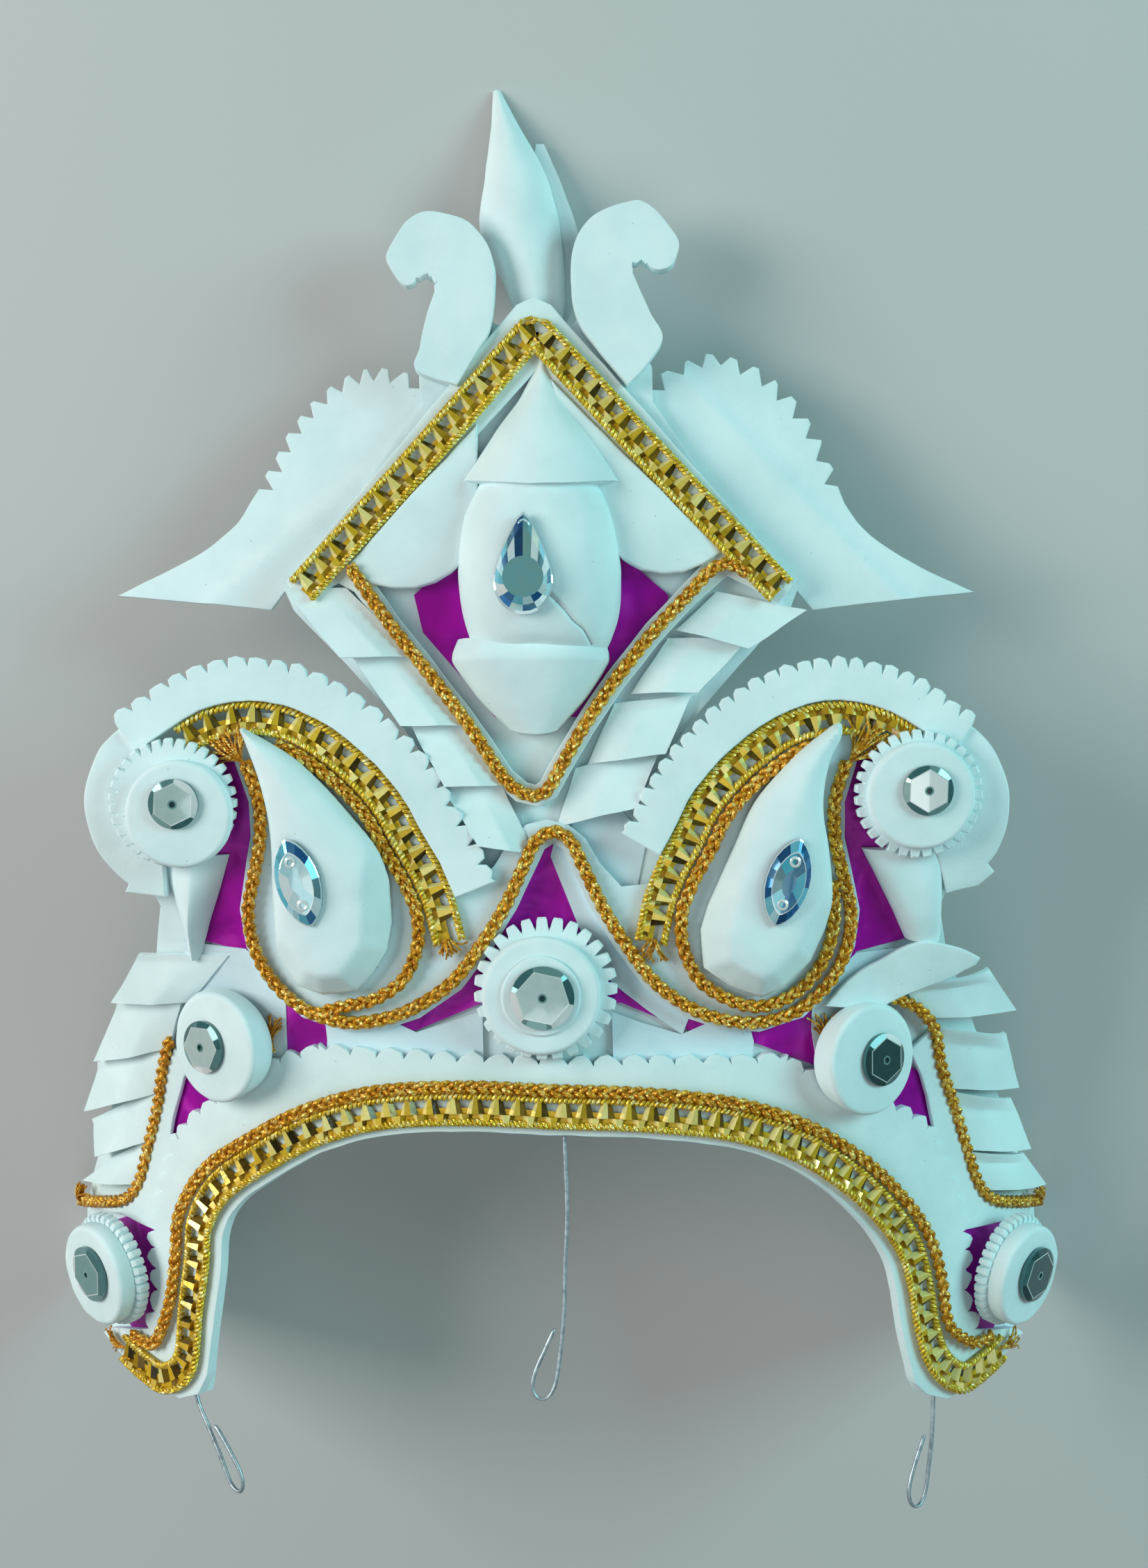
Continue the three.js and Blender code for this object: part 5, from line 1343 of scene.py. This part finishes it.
BELL_SHIFT, BELL_HALF = 1.3, 30
wave_path = [(x + BELL_SHIFT * max(0, 1 - abs(x) / BELL_HALF), y)
             for x, y in [*mirrored(WAVE, -1)[::-1], (0, -6.5), *WAVE]]
TRIM_BESIDE, LOOP_BESIDE, LOOP_START = 7.85, 12.65, 0.36
trim_path = beside(crescent_path, TRIM_BESIDE)
loop_path = beside(crescent_path, LOOP_BESIDE)
loop_from = round(LOOP_START * len(loop_path))
LOOP_ENDS = {"left": [*LOOP_END[:4], (46.4, -42.9)], "right": LOOP_END}
TRIM_END = (20, -28.5)
TRIM_ROUTES = {
    "brow_trim": brow_path(TRIM_INSET, TRIM_TURN),
    "diamond_trim": [(-47.8, 41.8), (-24, 67.4), (-3.6, 90), (0, 93), (3.6, 90), (24, 67.4),
                     (47.8, 41.8)],
}
CORD_ROUTES = {
    "brow_cord": (brow_path(CORD_INSET, CORD_TURN), CORD_HEIGHT),
    "wave_cord": (wave_path, CORD_HEIGHT),
    "diamond_cord": (V_CORD, CORD_HEIGHT),
}
for side, sign in SIDES.items():
    loop = [*loop_path[loop_from:], *LOOP_ENDS[side]]
    TRIM_ROUTES["crescent_trim_" + side] = mirrored([*trim_path[1:], TRIM_END], sign)
    CORD_ROUTES["paisley_cord_" + side] = (mirrored(loop, sign), CORD_HEIGHT)
    CORD_ROUTES["side_cord_" + side] = (mirrored(SIDE_TOP[side] + SIDE_REST, sign), SIDE_HEIGHT)
print("routes:", len(TRIM_ROUTES), "ribbons and", len(CORD_ROUTES), "cords")

# %% [markdown]
# ## Plaited cord
# The cord is plaited from three strands of gold thread. In a plait each strand swings from side to
# side and goes over and under at twice that pace, a third of a period after the one before it.
# That is two sine waves, and a thin tube wound along the route for each strand.

# %% Plait the cords
PLAIT = {"period": 7.2, "swing": 0.88, "lift": 0.5, "strand_radius": 0.56}
CORD_STEP = 0.4


def strand(centre, up, radius, sides, run):
    """A tube round a line of points, with the `wind` of each point for the thread finish."""
    ahead = unit(np.gradient(centre, axis=0))
    first = unit(up - (up * ahead).sum(-1, keepdims=True) * ahead)
    second = np.cross(ahead, first)
    angle = np.linspace(0, 2 * math.pi, sides, endpoint=False)
    spokes = np.cos(angle)[None, :, None] * first[:, None]
    spokes = spokes + np.sin(angle)[None, :, None] * second[:, None]
    points = centre[:, None] + radius * MM * spokes
    faces = grid_faces(len(centre), sides, around=True)
    faces += [list(range(sides)), list(range((len(centre) - 1) * sides, len(centre) * sides))]
    wind = np.stack(np.broadcast_arrays(np.cos(angle)[None], np.sin(angle)[None], 9 * run[:, None]), -1)
    return points.reshape(-1, 3), faces, wind.reshape(-1, 3)


def wound(name, strands, stands_for, finish="thread"):
    points, faces = joined([(p, f) for p, f, _ in strands])
    make(name, points, faces, finish, stands_for, crease=60,
         attributes={"wind": ("FLOAT_VECTOR", "POINT", np.vstack([w for _, _, w in strands]))})


def plaited(way, period, swing, lift, strand_radius):
    made = []
    for k in range(3):
        turn = 2 * math.pi * (way["run"] / period + k / 3)
        side, rise = swing * np.sin(turn), lift * np.sin(2 * turn)
        centre = way["place"] + MM * (side[:, None] * way["across"] + rise[:, None] * way["up"])
        made.append(strand(centre, way["up"], strand_radius, 8, way["run"]))
    return made


for name, (path, h) in CORD_ROUTES.items():
    wound("plait_" + name, plaited(route(path, h, CORD_STEP), **PLAIT), [name])

# %% [markdown]
# ## Gold ribbon
# The ribbon is foil folded into two rows of small tents, the lower row upside down and half a step
# on, with a looped thread sewn along both edges. The gaps between the tents show the white below.
# Each tent has a narrow facet with a painted highlight, a gold one and one in painted shade, so it
# glitters like pleated metal.

# %% Fold the ribbons
RIBBON = {"pitch": 4.4, "half": 2.4, "base": 0.3, "ridge": 1.25}
RIBBON_STEP = 0.3
EDGE = {"side": 2.6, "rise": 0.8, "period": 1.9, "swing": 0.5, "strand": 0.4}
# painted_tints: a painted highlight, gold and painted shade for the three facets of a tent.
TENTS = [
    {"from": -1.0, "to": 0.35, "shift": 0.0, "wide": (0.85, 1.95), "folds": (0.28, 0.64),
     "painted_tints": (0.98, 0.62, 0.06)},
    {"from": 1.0, "to": 0.35, "shift": 0.5, "wide": (1.2, 1.8), "folds": (0.32, 0.72),
     "painted_tints": (0.92, 0.6, 0.25)},
]


def beside_route(way, run, side, rise):
    """Points at a length along a route, a distance across and a rise, in millimetres."""
    def at(key):
        return np.stack([np.interp(run, way["run"], way[key][:, k]) for k in range(3)], -1)
    aside, higher = np.asarray(side)[:, None], np.asarray(rise)[:, None]
    return at("place") + MM * (aside * at("across") + higher * at("up"))


def folded_ribbon(way, seed):
    """A strip with two rows of tents along a route, each a closed prism, with a painted highlight or
    painted shade tint for each facet.
    """
    steps = way["run"]
    corners = [beside_route(way, steps, RIBBON["half"] * side + 0 * steps, rise + 0 * steps)
               for side, rise in ((-0.1, 0), (-0.1, 0.4), (1.1, 0.4), (1.1, 0))]
    parts = [(np.stack(corners, 1), grid_faces(len(steps), 4, around=True))]
    facet_painted_light = [0.55] * len(parts[0][1])
    base = RIBBON["base"]
    chance = np.random.default_rng(seed)
    for k in range(int(way["run"][-1] / RIBBON["pitch"])):
        for tent in TENTS:
            slip, high, bright, dark = chance.uniform(-1, 1, 4)
            middle = (k + 0.5 + tent["shift"] + 0.05 * slip) * RIBBON["pitch"]
            ridge = RIBBON["ridge"] * (1 + 0.2 * high)
            run, side, rise = [], [], []
            for place, half in zip((tent["from"], tent["to"]), tent["wide"]):
                folds = [middle + half * (2 * f - 1 + 0.1 * slip) for f in tent["folds"]]
                run += [middle - half, *folds, middle + half]
                side += [RIBBON["half"] * place] * 4
                rise += [base, base + ridge, base + 0.8 * ridge, base]
            run = np.clip(run, 0, way["run"][-1])
            faces = [[0, 1, 5, 4], [1, 2, 6, 5], [2, 3, 7, 6], [0, 4, 7, 3], [0, 3, 2, 1], [4, 5, 6, 7]]
            parts.append((beside_route(way, run, side, rise), faces))
            # Painted light: a highlight on the first facet, gold on the second, shade on the third and
            # on the faces below.
            first, second, third = tent["painted_tints"]
            facet_painted_light += [first + 0.1 * bright, second + 0.25 * dark, third + 0.15 * bright, 0.2, 0.45,
                      0.35]
    return *joined(parts), facet_painted_light


def edge_thread(way, side):
    made = []
    for k in range(2):
        turn = 2 * math.pi * (way["run"] / EDGE["period"] + k / 2)
        across = side * (EDGE["side"] + EDGE["swing"] * np.sin(turn))
        rise = EDGE["rise"] + EDGE["swing"] * np.cos(turn)
        centre = way["place"] + MM * (across[:, None] * way["across"] + rise[:, None] * way["up"])
        made.append(strand(centre, way["up"], EDGE["strand"], 6, way["run"]))
    return made


for seed, (name, path) in enumerate(TRIM_ROUTES.items()):
    way = route(path, TRIM_LOW, RIBBON_STEP)
    points, faces, facet_painted_light = folded_ribbon(way, seed)
    make("folded_" + name, points, faces, "ribbon", [name], crease=12,
         attributes={"facet_painted_light": ("FLOAT", "FACE", facet_painted_light)})
    wound("edges_" + name, edge_thread(way, -1) + edge_thread(way, 1), [name], "lace")

# %% [markdown]
# ## Frayed ends
# Where a cord or a ribbon was cut, its threads spring apart. Each tuft is a fan of thin strands that
# start in one place, spread through an angle and curl a little.

# %% Fray the ends
TUFTS = [
    {"name": "middle_left", "at": (-57, -51.6, 1.8), "towards": 92, "spread": 40, "length": 8,
     "count": 22},
    {"name": "middle_right", "at": (54.4, -51.4, 1.8), "towards": 74, "spread": 62, "length": 8.5,
     "count": 26},
    {"name": "side_left", "at": (-105.6, -91.2, 2.9), "towards": 84, "spread": 50, "length": 4.6,
     "count": 18},
    {"name": "side_right", "at": (105.6, -91.2, 2.9), "towards": 82, "spread": 90, "length": 4.2,
     "count": 18},
    {"name": "wave_left", "at": (-60, 7.2, 4.2), "towards": 128, "spread": 80, "length": 9,
     "count": 40},
    {"name": "wave_right", "at": (60, 7.2, 4.2), "towards": 46, "spread": 56, "length": 10.5,
     "count": 36},
    {"name": "brow_left", "at": (-92.6, -119.4, 4), "towards": 160, "spread": 60, "length": 5,
     "count": 14},
    {"name": "brow_right", "at": (92.6, -119.4, 4), "towards": 20, "spread": 60, "length": 5,
     "count": 14},
    {"name": "low_left", "at": (-20.4, -28, 4), "towards": 292, "spread": 70, "length": 4, "count": 16},
    {"name": "low_right", "at": (20.4, -28, 4), "towards": 262, "spread": 70, "length": 5, "count": 16},
]


TUFT_WIDE, TUFT_CURL, TUFT_ARCH, THREAD_RADIUS = 0.6, 0.5, 0.9, 0.2


def fray(row, seed):
    chance = np.random.default_rng(seed)
    t = np.linspace(0, 1, 9)
    made = []
    for _ in range(row["count"]):
        lean, reach, curl, lift = chance.uniform(-1, 1, 4)
        angle = math.radians(row["towards"] + row["spread"] / 2 * lean) + TUFT_CURL * curl * t ** 2
        out = row["length"] * (0.8 + 0.2 * reach) * t
        x, y, h = row["at"]
        drawn = np.stack([x + TUFT_WIDE * lean + out * np.cos(angle), y + out * np.sin(angle),
                          h + 0.5 * lift + TUFT_ARCH * np.sin(math.pi * t) * (0.6 + 0.4 * lift)], -1)
        up = lay(drawn + [0, 0, 1]) - lay(drawn)
        made.append(strand(lay(drawn), up, THREAD_RADIUS, 5, out))
    return made


for seed, row in enumerate(TUFTS):
    wound("frayed_" + row["name"], fray(row, seed), [])

# %% [markdown]
# ## Wire eyes
# The crown is tied on with ribbons through three bent wire eyes. The measured wires are six-sided,
# so their faces are joined into quads and smoothed by subdivision, which keeps the route and makes
# the wire round.

# %% Round the wires
for solid in ("wire_centre", "wire_left", "wire_right"):
    work = bmesh.new()
    work.from_mesh(frame["nodes"][solid].data)
    bmesh.ops.remove_doubles(work, verts=work.verts, dist=WELD)
    bmesh.ops.join_triangles(work, faces=work.faces, angle_face_threshold=1.0,
                             angle_shape_threshold=1.5)
    points = [v.co[:] for v in work.verts]
    work.verts.index_update()
    faces = [[v.index for v in face.verts] for face in work.faces]
    work.free()
    piece = make("round_" + solid, points, faces, "wire", [solid], crease=180)
    piece.modifiers.new("round", "SUBSURF").levels = 2
    piece.modifiers["round"].render_levels = 2

# %% [markdown]
# ## Stage, camera and light
# The crown lies on a plain pale floor. The camera looks straight at the tilted front from above,
# at about arm's length. Two large soft lights stand left and right: the left one is neutral and the
# right one is slightly blue-green, as by a window, so the two sides of every raised piece differ.

# %% Floor, camera and lights
floor_mesh = bpy.data.meshes.new("floor")
floor_mesh.from_pydata([(-3, -3, 0), (3, -3, 0), (3, 3, 0), (-3, 3, 0)], [], [[0, 1, 2, 3]])
floor = bpy.data.objects.new("floor", floor_mesh)
scene.collection.objects.link(floor)
floor_finish, floor_tree, floor_shader = new_finish("pale floor")
feed(floor_tree, floor_shader, {"Base Color": (0.58, 0.58, 0.58, 1), "Roughness": 0.9})
floor_mesh.materials.append(floor_finish)

CAMERA_AT, HALF_VIEW = (5.04, 3.01, 420.0), 158.0     # in the crown's own millimetres
SENSOR = 36.0
camera = bpy.data.objects.new("camera", bpy.data.cameras.new("camera"))
scene.collection.objects.link(camera)
camera_place = Matrix.Translation(to_frame(CAMERA_AT).tolist())
camera.matrix_world = camera_place @ Matrix.Rotation(-REST_TILT, 4, "X")
camera.data.sensor_width = SENSOR
camera.data.lens = SENSOR / 2 * CAMERA_AT[2] / HALF_VIEW
camera.data.clip_start = 0.01
scene.camera = camera


def soft_light(name, place, power, size, colour):
    lamp = bpy.data.lights.new(name, "AREA")
    lamp.energy, lamp.size, lamp.color = power, size, colour
    light = bpy.data.objects.new(name, lamp)
    scene.collection.objects.link(light)
    turn = Vector(place).to_track_quat("Z", "Y").to_matrix().to_4x4()
    light.matrix_world = Matrix.Translation(place) @ turn


soft_light("left light", (-0.8, 0.3, 0.5), 7.0, 0.5, (0.98, 1.0, 0.96))
soft_light("right light", (0.85, 0.4, 0.45), 6.2, 0.5, (0.5, 1.0, 1.0))
soft_light("top light", (0.0, -0.3, 1.1), 1.5, 0.8, (0.97, 1.0, 1.0))
world = bpy.data.worlds.new("studio")
scene.world = world
world.use_nodes = True
backdrop = world.node_tree.nodes["Background"]
feed(world.node_tree, backdrop, {"Color": (0.8, 0.9, 0.92, 1), "Strength": 0.15})
scene.view_settings.view_transform = "Standard"
print("camera at", [round(v, 4) for v in camera.matrix_world.translation])
